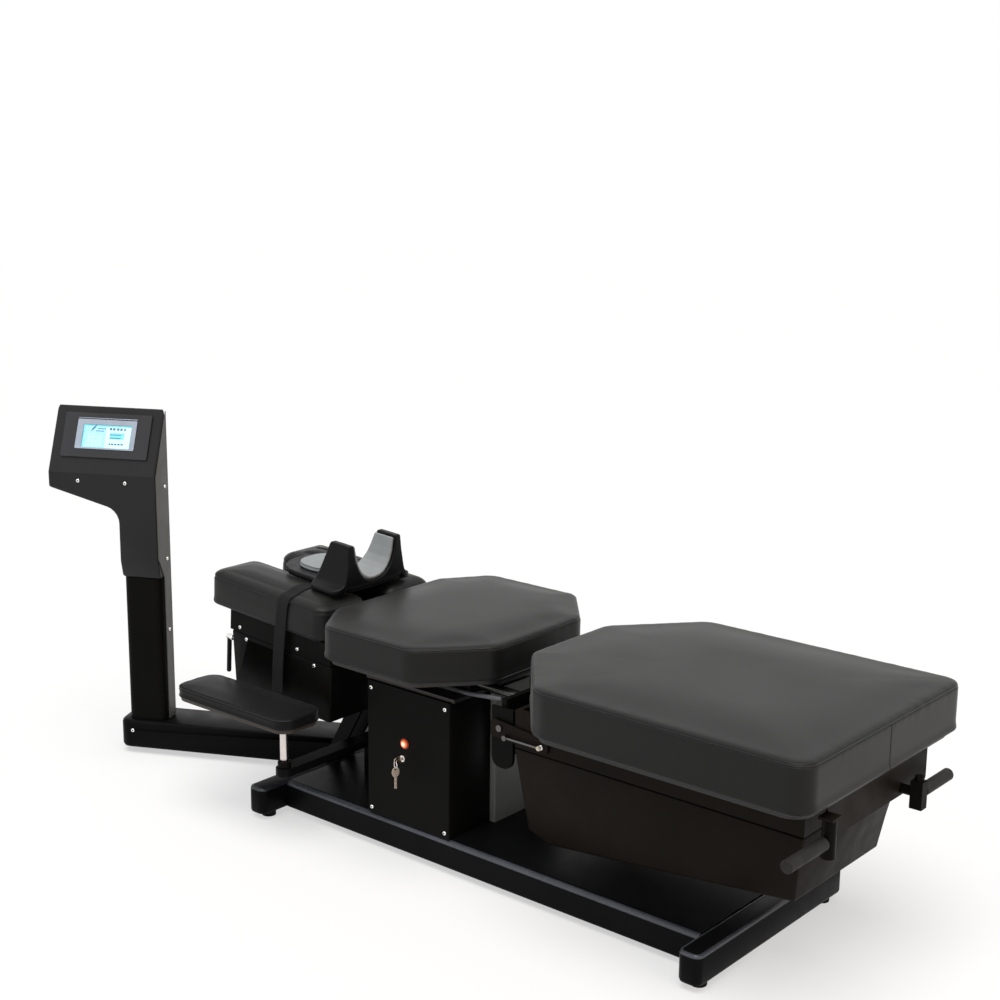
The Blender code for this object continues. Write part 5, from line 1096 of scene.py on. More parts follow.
@dataclass
class Cushion:
    """A vinyl cushion: drawn-in sides, a sewn welt under the rim, and a crowned top.

    Its skin is a grid of rings, from the base edge up the wall to the seam, over the
    roll and across the crown. The heights are in the cushion's own frame, base.
    """

    name: str
    node: str
    body: str
    corners: Sequence[Point2]
    radius: float | Sequence[float]
    low: float
    side: float
    crown: float
    reach: float
    base: Matrix
    finish: Finish = TOP_VINYL
    slot: str = "vinyl"
    roll: float = 0.020
    pinch: float = 0.0
    edge: float = 0.0090
    lift: float = 0.60
    swell: float = 0.0040
    voxel: float = 0.0080
    spacing: float = 0.0080
    groove: float = 0.0030
    groove_half: float = 0.0030
    welt: float = 0.0013
    fill: float = 0.85
    welt_proud: float = 0.35
    thread: float = 0.0009
    thread_proud: float = 0.0001
    seam_angle: float = 70.0
    least_radius: float = 0.3
    arc_steps: int = 9
    edge_rings: int = 4
    wall_rings: int = 14
    seam_drops: tuple[float, ...] = (0.006, 0.0045, 0.003, 0.002, 0.001, 0.0)
    roll_rings: int = 12
    crown_rings: int = 18
    middle_rings: int = 7
    crown_share: float = 0.76
    sharpness: float = 3.0
    dome_start: float = 0.7
    quick_share: float = 0.6
    pressure: float = 4.0
    frames: int = 20
    search: float = 0.02
    calm: int = 30
    gather: float = 0.0011
    gather_reach: float = 0.016
    gather_gap: float = 0.002
    folds: Point3 = (42.0, 14.0, 0.8)
    ripples: Point3 = (150.0, 40.0, 0.35)

    @property
    def seam_ring(self) -> int:
        """Give the index of the ring at the seam."""
        return self.edge_rings + self.wall_rings + len(self.seam_drops) - 1

    def outline(self, distance: float) -> list[Vector]:
        """Give one ring's points, with the same count at every inset.

        Args:
            distance: The inset.

        Returns:
            The points.
        """
        corners = inset_outline(self.corners, distance)
        count = len(corners)
        radii = [self.radius] * count if isinstance(self.radius, float) else self.radius
        arcs = []
        for index, corner in enumerate(corners):
            radius = max(radii[index] - distance, radii[index] * self.least_radius)
            back = (corners[index - 1] - corner).normalized()
            ahead = (corners[(index + 1) % count] - corner).normalized()
            half = back.angle(ahead) / 2
            centre = corner + (back + ahead).normalized() * (radius / math.sin(half))
            first = corner + back * (radius / math.tan(half)) - centre
            last = corner + ahead * (radius / math.tan(half)) - centre
            sweep = first.angle_signed(last)
            turns = (-sweep * step / self.arc_steps for step in range(self.arc_steps + 1))
            arcs.append([centre + Matrix.Rotation(turn, 2) @ first for turn in turns])
        points = []
        for arc, following, steps in zip(arcs, arcs[1:] + arcs[:1], self.edge_steps()):
            points += arc
            points += [arc[-1].lerp(following[0], step / steps) for step in range(1, steps)]
        return points

    def edge_steps(self) -> list[int]:
        """Count the steps along the edges of the widest ring.

        Returns:
            The count for each edge.
        """
        ends = zip(self.corners, [*self.corners[1:], self.corners[0]])
        spans = [(Vector(second) - Vector(first)).length for first, second in ends]
        return [max(3, round(span / self.spacing)) for span in spans]

    def profile(self) -> list[Point2]:
        """Give the section from the base edge to the end of the crown.

        Returns:
            Each ring's inset and height. The crown's heights are set by dome.
        """
        seam = self.low + self.side
        rise = self.crown * self.lift
        points = []
        for step in range(self.edge_rings):
            turn = math.pi / 2 * step / self.edge_rings
            height = self.low + self.edge * (1 - math.cos(turn))
            points.append((self.edge * (1 - math.sin(turn)), height))
        span = self.side - self.edge - self.seam_drops[0]
        for step in range(self.wall_rings):
            share = step / self.wall_rings
            inward = self.pinch * math.sin(math.pi * share) ** 1.5
            points.append((inward, self.low + self.edge + span * share))
        points += [(0.0, seam - drop) for drop in self.seam_drops]
        for step in range(1, self.roll_rings + 1):
            turn = math.pi / 2 * (step / self.roll_rings) ** 1.3
            points.append((self.roll * (1 - math.cos(turn)), seam + rise * math.sin(turn)))
        for step in range(1, self.crown_rings + 1):
            share = step / self.crown_rings * self.crown_share
            points.append((self.roll + (self.reach - self.roll) * share, seam + rise))
        return points

    def rings(self) -> np.ndarray:
        """Lay out the rings before they swell.

        Returns:
            Rings by points by three, in the cushion's frame.
        """
        layers = [
            [(spot.x, spot.y, height) for spot in self.outline(inward)]
            for inward, height in self.profile()
        ]
        last = np.array(layers[-1])
        middle = last.mean(axis=0)
        for step in range(1, self.middle_rings + 1):
            keep = 1 - step / (self.middle_rings + 1)
            layers.append((middle + (last - middle) * keep).tolist())
        grid = np.array(layers)
        self.dome(grid)
        return grid

    def dome(self, grid: np.ndarray) -> None:
        """Swell the top smoothly, with no creases towards its corners.

        Args:
            grid: The rings, whose heights past the roll are changed.
        """
        rise = self.crown * self.lift
        top = grid[self.seam_ring + self.roll_rings + 1 :]
        flat = top[:, :, :2].reshape(-1, 2)
        flat = np.vstack([flat, flat[-top.shape[1] :].mean(axis=0)])
        away = []
        for first, second in zip(self.corners, [*self.corners[1:], self.corners[0]]):
            along = np.array(second) - np.array(first)
            along /= np.linalg.norm(along)
            away.append((flat[:, 1] - first[1]) * along[0] - (flat[:, 0] - first[0]) * along[1])
        away = np.abs(np.array(away))
        least = away.min(axis=0)
        crowd = np.exp(-self.sharpness * (away - least) / least).sum(axis=0)
        soft = least * (1 - np.log(crowd) / self.sharpness)
        begin = self.roll * self.dome_start
        share = np.clip((soft - begin) / (soft[-1] - begin), 0.0, 1.0)
        swelling = (1 - np.cos(math.pi * share[:-1])) / 2
        height = self.crown - rise
        top[:, :, 2] = self.low + self.side + rise + height * swelling.reshape(top.shape[:2])

    def skin(self, name: str, grid: np.ndarray) -> Piece:
        """Make a closed mesh of a grid of rings.

        Args:
            name: The piece's name.
            grid: Rings by points by three.

        Returns:
            The piece.
        """
        count = grid.shape[1]
        mesh = bmesh.new()
        verts = [[mesh.verts.new(point) for point in ring] for ring in grid]
        for low, high in zip(verts, verts[1:]):
            for index in range(count):
                after = (index + 1) % count
                mesh.faces.new((low[index], low[after], high[after], high[index]))
        for ring in (verts[0], verts[-1]):
            tip = mesh.verts.new(sum((vert.co for vert in ring), Vector()) / count)
            for index in range(count):
                mesh.faces.new((ring[index], ring[(index + 1) % count], tip))
        bmesh.ops.recalc_face_normals(mesh, faces=mesh.faces)
        return Bench.from_mesh(name, mesh)

    def normals(self, grid: np.ndarray) -> np.ndarray:
        """Give the outward normal at every point of the grid.

        Args:
            grid: Rings by points by three.

        Returns:
            The normals, in the same shape.
        """
        around = np.roll(grid, -1, axis=1) - np.roll(grid, 1, axis=1)
        up = np.empty_like(grid)
        up[1:-1] = grid[2:] - grid[:-2]
        up[0] = grid[1] - grid[0]
        up[-1] = grid[-1] - grid[-2]
        normal = np.cross(around, up)
        return normal / np.maximum(np.linalg.norm(normal, axis=2, keepdims=True), 1e-9)

    @staticmethod
    def places(mesh: bpy.types.Mesh) -> np.ndarray:
        """Read where a mesh's vertices are.

        Args:
            mesh: The mesh.

        Returns:
            The places, as rows of three.
        """
        flat = np.empty(len(mesh.vertices) * 3)
        mesh.vertices.foreach_get("co", flat)
        return flat.reshape(-1, 3)

    def inflate(self, grid: np.ndarray) -> BVHTree:
        """Blow up a remeshed copy with a cloth simulation.

        Args:
            grid: The starting rings.

        Returns:
            The swollen surface, for casting rays at.
        """
        copy = self.skin(self.name + "_blank", grid)
        Bench.apply(copy, "REMESH", mode="VOXEL", voxel_size=self.voxel, adaptivity=0.0)
        start = self.places(copy.data)
        held = copy.vertex_groups.new(name="held")
        base = np.nonzero(start[:, 2] < self.low + self.voxel)[0]
        held.add([int(index) for index in base], 1.0, "REPLACE")
        cloth = copy.modifiers.new("cloth", "CLOTH")
        cloth.settings.use_pressure = True
        cloth.settings.uniform_pressure_force = self.pressure
        cloth.settings.effector_weights.gravity = 0.0
        cloth.settings.vertex_group_mass = "held"
        cloth.settings.quality = 4
        cloth.point_cache.frame_start = 1
        cloth.point_cache.frame_end = self.frames
        scene = bpy.context.scene
        for number in range(1, self.frames + 1):
            scene.frame_set(number)
        graph = bpy.context.evaluated_depsgraph_get()
        swollen = copy.evaluated_get(graph).to_mesh()
        way = self.places(swollen) - start
        far = np.linalg.norm(way, axis=1, keepdims=True)
        moved = start + way * np.minimum(1.0, self.swell * 2 / np.maximum(far, 1e-9))
        faces = [tuple(face.vertices) for face in swollen.polygons]
        tree = BVHTree.FromPolygons([Vector(point) for point in moved], faces)
        copy.evaluated_get(graph).to_mesh_clear()
        Bench.discard(copy)
        scene.frame_set(1)
        return tree

    def puff(self, grid: np.ndarray) -> np.ndarray:
        """Move the rings out to the swollen surface, smoothed and capped.

        Args:
            grid: The starting rings.

        Returns:
            The swollen rings.
        """
        normal = self.normals(grid)
        away = np.full(grid.shape[:2], self.swell * self.quick_share)
        tree = self.inflate(grid)
        for ring, index in np.ndindex(*away.shape):
            way = Vector(normal[ring, index])
            begin = Vector(grid[ring, index]) - way * self.search
            hit = tree.ray_cast(begin, way, self.search * 3)[0]
            if hit is not None:
                away[ring, index] = (hit - begin).length - self.search
        away = np.clip(away, 0.0, self.swell)
        for _ in range(self.calm):
            sides = (np.roll(away, 1, axis=1) + np.roll(away, -1, axis=1)) / 2
            middle = away.copy()
            middle[1:-1] = (away[2:] + away[:-2]) / 2
            away = (away + sides + middle) / 3
        return grid + normal * (away[:, :, None] * self.freedom(grid))

    def seam(self) -> np.ndarray:
        """Give the points of the finished seam."""
        return self.surface[self.seam_ring]

    def freedom(self, grid: np.ndarray) -> np.ndarray:
        """Give how free each point is to swell, from 0 at the base to 1."""
        return np.clip((grid[:, :, 2:3] - self.low) / (self.edge * 2), 0.0, 1.0)

    def sew(self, grid: np.ndarray) -> np.ndarray:
        """Draw in the seam and gather the vinyl along it.

        Args:
            grid: The swollen rings.

        Returns:
            The sewn rings.
        """
        normal = self.normals(grid)
        step = np.linalg.norm(np.diff(grid, axis=0), axis=2).mean(axis=1)
        path = np.concatenate([[0.0], np.cumsum(step)])
        path -= path[self.seam_ring]
        ring = grid[self.seam_ring]
        along = np.linalg.norm(np.roll(ring, -1, axis=0) - ring, axis=1)
        travel = np.concatenate([[0.0], np.cumsum(along)[:-1]])
        seed = len(self.name)
        waves = ((self.folds, 0.0), (self.ripples, 7.0))
        depth = np.zeros(grid.shape[:2])
        for row, away in enumerate(path):
            groove = self.groove * math.exp(-((away / self.groove_half) ** 2))
            gather = self.gather * math.exp(-abs(away) / self.gather_reach)
            gather *= 1 - math.exp(-abs(away) / self.gather_gap)
            for index, place in enumerate(travel):
                crease = sum(
                    noise.noise(Vector((place * fine, away * tall, shift + seed))) * share
                    for (fine, tall, share), shift in waves
                )
                depth[row, index] = groove + gather * crease
        return grid - normal * depth[:, :, None]

    def welting(self, ring: np.ndarray, normal: np.ndarray) -> Piece:
        """Make the thin welt cord that fills the seam.

        Args:
            ring: The seam's points.
            normal: The normal at each of them.

        Returns:
            The welt.
        """
        points = ring + normal * self.welt * self.welt_proud
        return self.fit_seam(Bench.thread(self.name + "_welt", points, self.welt, 3, True))

    def fit_seam(self, piece: Piece) -> Piece:
        """Dress a welt or seam of the cushion."""
        where = (self.base, self.body, self.slot)
        return Bench.fit(piece, *where, WELT_VINYL, angle=self.seam_angle)

    def build(self) -> Piece:
        """Make the cushion and its welt.

        Returns:
            The cushion.
        """
        full = self.rings()
        smaller = full - self.normals(full) * self.swell * self.freedom(full)
        grid = self.sew(self.puff(smaller))
        self.surface = grid
        piece = self.skin(self.name, grid)
        Bench.settle(piece, self.base)
        Bench.soften(piece)
        Bench.dress(piece, self.body, self.slot, self.finish, (self.node,))
        self.welting(self.seam(), self.normals(grid)[self.seam_ring])
        return piece

    def upright_seam(self, index: int, name: str) -> Piece:
        """Sew an upright seam down the side.

        Args:
            index: The point of the rings where it runs.
            name: The seam's name.

        Returns:
            The seam.
        """
        normal = self.normals(self.surface)
        rows = slice(2, self.seam_ring + 1)
        points = self.surface[rows, index] + normal[rows, index] * self.thread_proud
        return self.fit_seam(Bench.thread(name, points, self.thread, 2, False))


# ---------------------------------------------------------------------------
# Sub-assemblies
# ---------------------------------------------------------------------------


@dataclass
class FloorFrame:
    """Platform, cross tubes and the bar that carries the arm supports."""

    edge: float = 0.0030

    def build(self) -> None:
        """Coat the floor frame, and give its upward-tilted bevel faces a lighter coat as a
        painted highlight.
        """
        for shell in (
            Shell("base_platform", "black_paint", FLOOR_COAT, self.edge, 3, feet=True),
            Shell("head_cross_tube", "black_paint", FLOOR_COAT, 0.0, feet=True),
            Shell("foot_cross_tube", "black_paint", FLOOR_COAT, 0.0, feet=True),
        ):
            # Faces tilted up between 0.25 and 0.93 get the lighter edge coat: a painted highlight
            # along the upper edges.
            Bench.paint(shell.build(), EDGE_HIGHLIGHT_COAT, lambda face: 0.25 < face.normal.z < 0.93)
        Shell("armrest_bar", "black_paint", FLOOR_COAT, 0.0022, 3).build()
        Shell("head_yoke", "black_paint", FLOOR_COAT).build()


class Tile(Enum):
    """The plain areas of the display picture."""

    GROUND = 0
    PANEL = 1
    BLOCK = 2
    BAR = 3
    BRIGHT = 4


@dataclass
class ConsoleTower:
    """Floor arm, post, console housing, display and their screws."""

    lip_top: float = 0.785
    top: float = 0.958
    depth: float = 0.080
    lip_screws: tuple[Point2, ...] = ((-0.104, 0.764), (0.032, 0.764))
    side_face: float = 0.1208
    side_screw_depth: float = 0.052
    side_screw_heights: tuple[float, ...] = (0.350, 0.550, 0.750)
    arm_screw: Point2 = (0.026, 0.067)
    display_low: Point2 = (-0.104, 0.0715)
    display_high: Point2 = (0.034, 0.1345)
    display_seat: float = 0.0004
    display_top: float = 0.0046
    columns: int = 60
    rows: int = 28
    gasket: float = 0.0011
    gasket_low: Point3 = (-0.122, 0.1515, 0.0042)
    gasket_end: float = 0.0485

    def slope(self) -> Matrix:
        """Give the frame of the sloping panel.

        Returns:
            Its matrix: X along the panel, Y up the slope and Z outwards.
        """
        rise = Vector((0.0, self.depth, self.top - self.lip_top)).normalized()
        out = Vector((0.0, -rise.z, rise.y))
        turn = Matrix(((1.0, 0.0, 0.0), (0.0, rise.y, out.y), (0.0, rise.z, out.z)))
        return TOWER @ Matrix.Translation((0.0, 0.0, self.lip_top)) @ turn.to_4x4()

    def build(self) -> None:
        """Make the tower."""
        Shell("tower_floor_arm", "black_paint", FLOOR_COAT, 0.0, feet=True).build()
        Shell("tower_lower_post", "black_paint", BLACK_COAT, 0.0008).build()
        Shell("tower_side_cover", "grey_paint", GREY_COAT, 0.0005).build()
        Shell("console_housing", "black_paint", CONSOLE_COAT, 0.0, angle=21.0).build()
        Shell("console_bezel", "black_paint", BEZEL_COAT, 0.0009, 3).build()
        Shell("screen_frame", "steel", SCREEN_METAL, 0.0009, 3).build()
        self.build_display()
        self.build_gasket()
        self.build_screws()

    @staticmethod
    def tile(u: float, v: float) -> Tile:
        """Say which plain area a point of the display lies in.

        Args:
            u: The share across, from the left.
            v: The share up.

        Returns:
            The area.
        """
        bars = (
            0.30 < u < 0.46 and 0.82 < v < 0.87,
            0.27 < u < 0.43 and 0.70 < v < 0.75,
            0.16 < u < 0.26 and abs((v - 0.72) - (u - 0.16) * 2.4) < 0.045,
            0.52 < u < 0.88 and 0.80 < v < 0.88 and int(u * 40) % 3,
            0.56 < u < 0.86 and 0.13 < v < 0.21 and int(u * 60) % 4,
        )
        if any(bars):
            return Tile.BAR
        if 0.57 < u < 0.87 and 0.38 < v < 0.68:
            return Tile.BAR if int(v * 28) % 4 == 0 and u < 0.80 else Tile.BLOCK
        if 0.10 < u < 0.44 and 0.06 < v < 0.60:
            return Tile.PANEL if int(u * 60) % 5 and int(v * 28) % 5 else Tile.GROUND
        if u < 0.04 or v > 0.93:
            return Tile.BLOCK
        return Tile.BRIGHT if u > 0.48 else Tile.GROUND

    def build_display(self) -> None:
        """Model the lit display, with plain areas in place of words."""
        Bench.drop()
        low = self.display_low
        wide, tall = (end - start for start, end in zip(low, self.display_high))
        bpy.ops.mesh.primitive_grid_add(
            x_subdivisions=self.columns, y_subdivisions=self.rows, size=1.0
        )
        piece = bpy.context.object
        piece.scale = (wide, tall, 1.0)
        middle = [(start + end) / 2 for start, end in zip(low, self.display_high)]
        piece.location = (*middle, self.display_top)
        Bench.claim("lit_display")
        Bench.select_faces(piece, lambda normal: True)
        bpy.ops.mesh.extrude_region_move(
            TRANSFORM_OT_translate={"value": (0.0, 0.0, self.display_seat - self.display_top)}
        )
        Bench.outward(piece)
        glows = (
            Glow("display_ground", (0.28, 0.60, 0.76), (0.38, 0.70, 0.84), 0.50),
            Glow("display_panel", (0.38, 0.63, 0.80), (0.46, 0.70, 0.85), 0.52),
            Glow("display_block", (0.16, 0.55, 0.68), (0.22, 0.62, 0.74), 0.50),
            Glow("display_bar", (0.05, 0.13, 0.24), (0.07, 0.18, 0.30), 0.35),
            Glow("display_bright", (0.46, 0.78, 0.84), (0.56, 0.84, 0.89), 0.56),
        )
        for glow in glows:
            piece.data.materials.append(glow.material())
        for face in piece.data.polygons:
            lit = face.center.z > self.display_top * 0.95
            u, v = (face.center.x - low[0]) / wide, (face.center.y - low[1]) / tall
            face.material_index = (self.tile(u, v) if lit else Tile.BAR).value
        Bench.fit(piece, self.slope(), "base", "screen", glows[0], ("touch_screen",))

    def build_gasket(self) -> None:
        """Lay a thin dark gasket along the upper edge of the screen frame."""
        _, y, z = self.gasket_low
        low = Vector(self.gasket_low)
        high = Vector((self.gasket_end, y + self.gasket * 1.6, z + self.gasket * 2))
        Bench.drop()
        bpy.ops.mesh.primitive_cube_add(size=1.0, location=(low + high) / 2)
        bpy.context.object.scale = high - low
        piece = Bench.claim("screen_gasket")
        Bench.round_edges(piece, self.gasket * 0.4, 2)
        Bench.fit(piece, self.slope(), "base", "steel", SCREEN_METAL)

    def build_screws(self) -> None:
        """Set the tower's screws."""
        screw = ButtonScrew()
        front = (0.0, -1.0, 0.0)
        lip = [facing(TOWER, (x, 0.0, z), front) for x, z in self.lip_screws]
        screw.row("console_lip_screws", "base", lip)
        spots = [(self.side_face, self.side_screw_depth, z) for z in self.side_screw_heights]
        cover = [facing(TOWER, spot, (1.0, 0.0, 0.0)) for spot in spots]
        screw.row("side_cover_screws", "base", cover)
        spot = (self.arm_screw[0], 0.0, self.arm_screw[1])
        screw.row("floor_arm_screw", "base", [facing(TOWER, spot, front)])


@dataclass
class Pedestal:
    """Control box, drive housing, column, lamp, key switch and keys."""

    plate_y: float = -0.2113
    seat: float = 0.0003
    screw_xs: Point2 = (0.0033, 0.2383)
    screw_zs: Point2 = (0.1005, 0.4038)
    lamp: Point2 = (0.112, 0.289)
    lamp_collar: float = 0.0128
    lamp_lens: float = 0.0088
    lamp_length: float = 0.0065
    lens_sink: float = 0.0005
    lens_crown: float = 0.0011
    lens_bevel: float = 0.0008
    lens_steps: tuple[Point2, ...] = ((0.0012, 0.0005), (0.0020, 0.0004), (0.0020, 0.0002))
    collar_length: float = 0.0030
    collar_bevel: float = 0.0012
    switch: Point2 = (0.115, 0.256)
    switch_radius: float = 0.0080
    switch_length: float = 0.0140
    switch_bevel: float = 0.0011
    face_ring: tuple[Point2, ...] = ((0.0014, 0.0), (0.0003, -0.0007))
    slot_ring: tuple[Point2, ...] = ((0.0018, 0.0), (0.0003, -0.0030))
    ring_radius: float = 0.0075
    ring_wire: float = 0.00055
    ring_turn: float = -20.0
    ring_split: float = 0.9

    def build(self) -> None:
        """Make the pedestal."""
        Shell("control_box", "black_paint", BLACK_COAT, 0.0).build()
        Shell("control_box_front_plate", "black_paint", BLACK_COAT, 0.0006).build()
        Shell("drive_housing", "black_paint", BLACK_COAT, 0.0).build()
        Shell("inner_column", "pale_paint", COLUMN_COAT, 0.0008).build()
        Shell("power_inlet", "black_plastic", SMALL_PLASTIC, 0.0005).build()
        spots = [(x, self.plate_y, z) for x in self.screw_xs for z in self.screw_zs]
        places = [facing(TABLE, spot, Side.NEAR.out) for spot in spots]
        ButtonScrew().row("control_box_screws", "base", places)
        self.build_lamp()
        self.build_switch()
        self.build_keys()

    def front(self, spot: Point2) -> Matrix:
        """Give a place on the front plate, Z outwards."""
        return facing(TABLE, (spot[0], self.plate_y - self.seat, spot[1]), Side.NEAR.out)

    def build_lamp(self) -> None:
        """Model the orange lamp: a collar that glows dark red as a painted halo of the lamp's
        light, and a domed, lit lens.
        """
        place = self.front(self.lamp)
        collar = Bench.turned("lamp_collar", self.lamp_collar, 0.0, self.collar_length)
        Bench.bevel_cap(collar, self.collar_bevel, 3)
        # The collar is no lamp: its dark red glow is a painted halo of the lens's light.
        collar_halo = Glow("lamp_collar_glow", (0.060, 0.006, 0.001), (0.26, 0.024, 0.004), 0.5)
        Bench.fit(collar, place, "base", "orange_lens", collar_halo)
        low, high = self.collar_length - self.lens_sink, self.lamp_length - self.lens_crown
        lens = Bench.turned("lamp_lens", self.lamp_lens, low, high)
        Bench.cap(lens, *self.lens_steps)
        Bench.round_edges(lens, self.lens_bevel)
        tip = tuple(place @ Vector((0.0, 0.0, self.lamp_length)))
        glow = Glow("lamp_lens_glow", (0.80, 0.10, 0.012), (1.0, 0.75, 0.50), 1.1, tip, 0.0090)
        Bench.fit(lens, place, "base", "orange_lens", glow, ("indicator_lamp",), 60.0)

    def build_switch(self) -> None:
        """Model the chrome key switch with its face ring and slot."""
        barrel = Bench.turned("key_switch_barrel", self.switch_radius, 0.0, self.switch_length)
        Bench.bevel_cap(barrel, self.switch_bevel, 4)
        Bench.cap(barrel, *self.face_ring, *self.slot_ring, steep=0.99)
        Bench.fit(barrel, self.front(self.switch), "base", "chrome", CHROME, ("key_switch",))

    def build_keys(self) -> None:
        """Finish both keys and wind the split ring."""
        Shell("switch_key", "chrome", KEY_NICKEL, 0.0003).build()
        Shell("spare_key", "chrome", KEY_NICKEL, 0.0003).build()
        centre, _ = Bench.middle("key_ring")
        turn = math.radians(self.ring_turn)
        out = Vector((-math.sin(turn), math.cos(turn), 0.0))
        Bench.drop()
        bpy.ops.mesh.primitive_torus_add(
            major_segments=96,
            minor_segments=14,
            major_radius=self.ring_radius,
            minor_radius=self.ring_wire,
        )
        wire = bpy.context.object
        spots = [centre + out * (sign * self.ring_wire * self.ring_split) for sign in (-1, 1)]
        places = [facing(Matrix.Translation(spot), (0.0, 0.0, 0.0), out) for spot in spots]
        ring = Bench.repeat("split_ring", wire, places)
        Bench.smooth(ring, 80.0)
        Bench.dress(ring, "key_bunch", "chrome", CHROME, ("key_ring",))


class Sheet:
    """A surface made of rows of points, with a UV map in metres."""

    def __init__(self) -> None:
        """Start with no rows."""
        self.mesh = bmesh.new()
        self.chart = self.mesh.loops.layers.uv.new("UVMap")
        self.rows = []

    def add_row(self, spots: Sequence[Vector], marks: Sequence[float], level: float) -> None:
        """Add a row of points.

        Args:
            spots: The points.
            marks: Each one's first UV value. One more than the points closes the row.
            level: The row's second UV value.
        """
        verts = [self.mesh.verts.new(spot) for spot in spots]
        verts += verts[: len(marks) - len(verts)]
        self.rows.append([(vert, mark, level) for vert, mark in zip(verts, marks)])

    def fill(self) -> None:
        """Join neighbouring rows with faces."""
        for low, high in zip(self.rows, self.rows[1:]):
            for column in range(len(low) - 1):
                cells = (low[column], low[column + 1], high[column + 1], high[column])
                face = self.mesh.faces.new([cell[0] for cell in cells])
                for loop, cell in zip(face.loops, cells):
                    loop[self.chart].uv = cell[1:]

    def finish(self, name: str) -> Piece:
        """Turn the faces the same way and make the piece."""
        bmesh.ops.recalc_face_normals(self.mesh, faces=self.mesh.faces)
        return Bench.from_mesh(name, self.mesh)


def travelled(line: Sequence[Vector]) -> list[float]:
    """Give the length of a line up to each of its points."""
    lengths = [(second - first).length for first, second in zip(line, line[1:])]
    return list(accumulate(lengths, initial=0.0))


def heading(line: Sequence[Vector], index: int) -> Vector:
    """Give a line's direction at one of its points."""
    return (line[min(index + 1, len(line) - 1)] - line[max(index - 1, 0)]).normalized()


@dataclass
class Hose:
    """The braided air hose between the deck and the carriage."""

    start_x: float = 0.150
    end_x: float = 0.3847
    y: float = -0.165
    level: float = 0.4365
    end_z: float = 0.4465
    radius: float = 0.0050
    points: int = 28
    level_share: float = 0.34
    sides: int = 24
    finer: int = 4
    ferrule_share: float = 1.32
    ferrule_step: float = 0.0009
    ferrule: float = 0.016
    ferrule_sink: float = 0.004

    def route(self) -> list[Vector]:
        """Give the hose's centre line.

        Returns:
            Its points in the part's frame.
        """
        count = (self.points - 1) * self.finer + 1
        line = []
        for index in range(count):
            share = index / (count - 1)
            free = max(0.0, (share - self.level_share) / (1 - self.level_share))
            ease = free * free * (3 - 2 * free)
            spot = (self.start_x + (self.end_x - self.start_x) * share, self.y)
            line.append(TABLE @ Vector((*spot, self.level + (self.end_z - self.level) * ease)))
        return line

    def build(self) -> None:
        """Make the hose and its two ferrules."""
        line = self.route()
        travel = travelled(line)
        side = Vector((0.0, 1.0, 0.0))
        turns = [math.tau * step / self.sides for step in range(self.sides)]
        marks = [step / self.sides for step in range(self.sides + 1)]
        sheet = Sheet()
        for index, place in enumerate(line):
            up = heading(line, index).cross(side).normalized()
            ways = [side * math.cos(turn) + up * math.sin(turn) for turn in turns]
            sheet.add_row([place + way * self.radius for way in ways], marks, travel[index])
        sheet.fill()
        ends = [[cell[0] for cell in row[:-1]] for row in (sheet.rows[0], sheet.rows[-1])]
        sheet.mesh.faces.new(ends[0])
        sheet.mesh.faces.new(ends[1][::-1])
        piece = sheet.finish("braided_air_hose")
        Bench.smooth(piece, 50.0)
        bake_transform(piece)
        Bench.dress(piece, None, "rubber", BRAID, ("air_hose",))
        for name, body, spot, low, high in (
            ("deck_hose_ferrule", "base", line[0], -self.ferrule_sink, self.ferrule),
            ("carriage_hose_ferrule", "carriage", line[-1], -self.ferrule, 0.0),
        ):
            ferrule = Bench.turned(name, self.radius * self.ferrule_share, low, high, 48)
            Bench.cap(ferrule, (self.ferrule_step, 0.0), both=True)
            Bench.round_edges(ferrule, 0.0006, 2)
            place = Matrix.Translation(spot) @ ALONG_X
            Bench.fit(ferrule, place, body, "dark_steel", DARK_STEEL)


@dataclass
class PullCarriage:
    """Slide guide, bars, actuator and carriage."""

    def build(self) -> None:
        """Finish the slide parts and lay the hose."""
        Shell("slide_guide", "dark_steel", DARK_STEEL, 0.0012).build()
        Shell("carriage_head", "black_paint", BLACK_COAT, 0.0014).build()
        for node in ("near_slide_bar", "far_slide_bar"):
            Shell(node, "dark_steel", BAR_STEEL, 0.0010).build()
        Shell("traction_rod", "chrome", CHROME, 0.0006).build()
        Shell("traction_cylinder", "dark_steel", DARK_STEEL, 0.0010).build()
        Hose().build()


@dataclass
class ThoracicSection:
    """Board and cushion of the middle section."""

    head: float = -0.1467
    length: float = 0.4963
    half: float = 0.3105
    head_edge: float = 0.1855
    foot_edge: float = 0.155
    head_cut: float = 0.084
    foot_cut: float = 0.1335
    low: float = 0.4822
    side: float = 0.077
    crown: float = 0.016
    reach: float = 0.190
    radius: float = 0.055

    def build(self) -> None:
        """Make the section."""
        Shell("thoracic_board", "board", BLACK_BOARD, 0.0012).build()
        head, foot, wide = self.head, self.head + self.length, self.half
        corners = (
            (head, self.head_edge),
            (head, -self.head_edge),
            (head + self.head_cut, -wide),
            (foot - self.foot_cut, -wide),
            (foot, -self.foot_edge),
            (foot, self.foot_edge),
            (foot - self.foot_cut, wide),
            (head + self.head_cut, wide),
        )
        sizes = (corners, self.radius, self.low, self.side, self.crown, self.reach)
        Cushion("thoracic_pad", "thoracic_cushion", "base", *sizes, TABLE, voxel=0.0085).build()


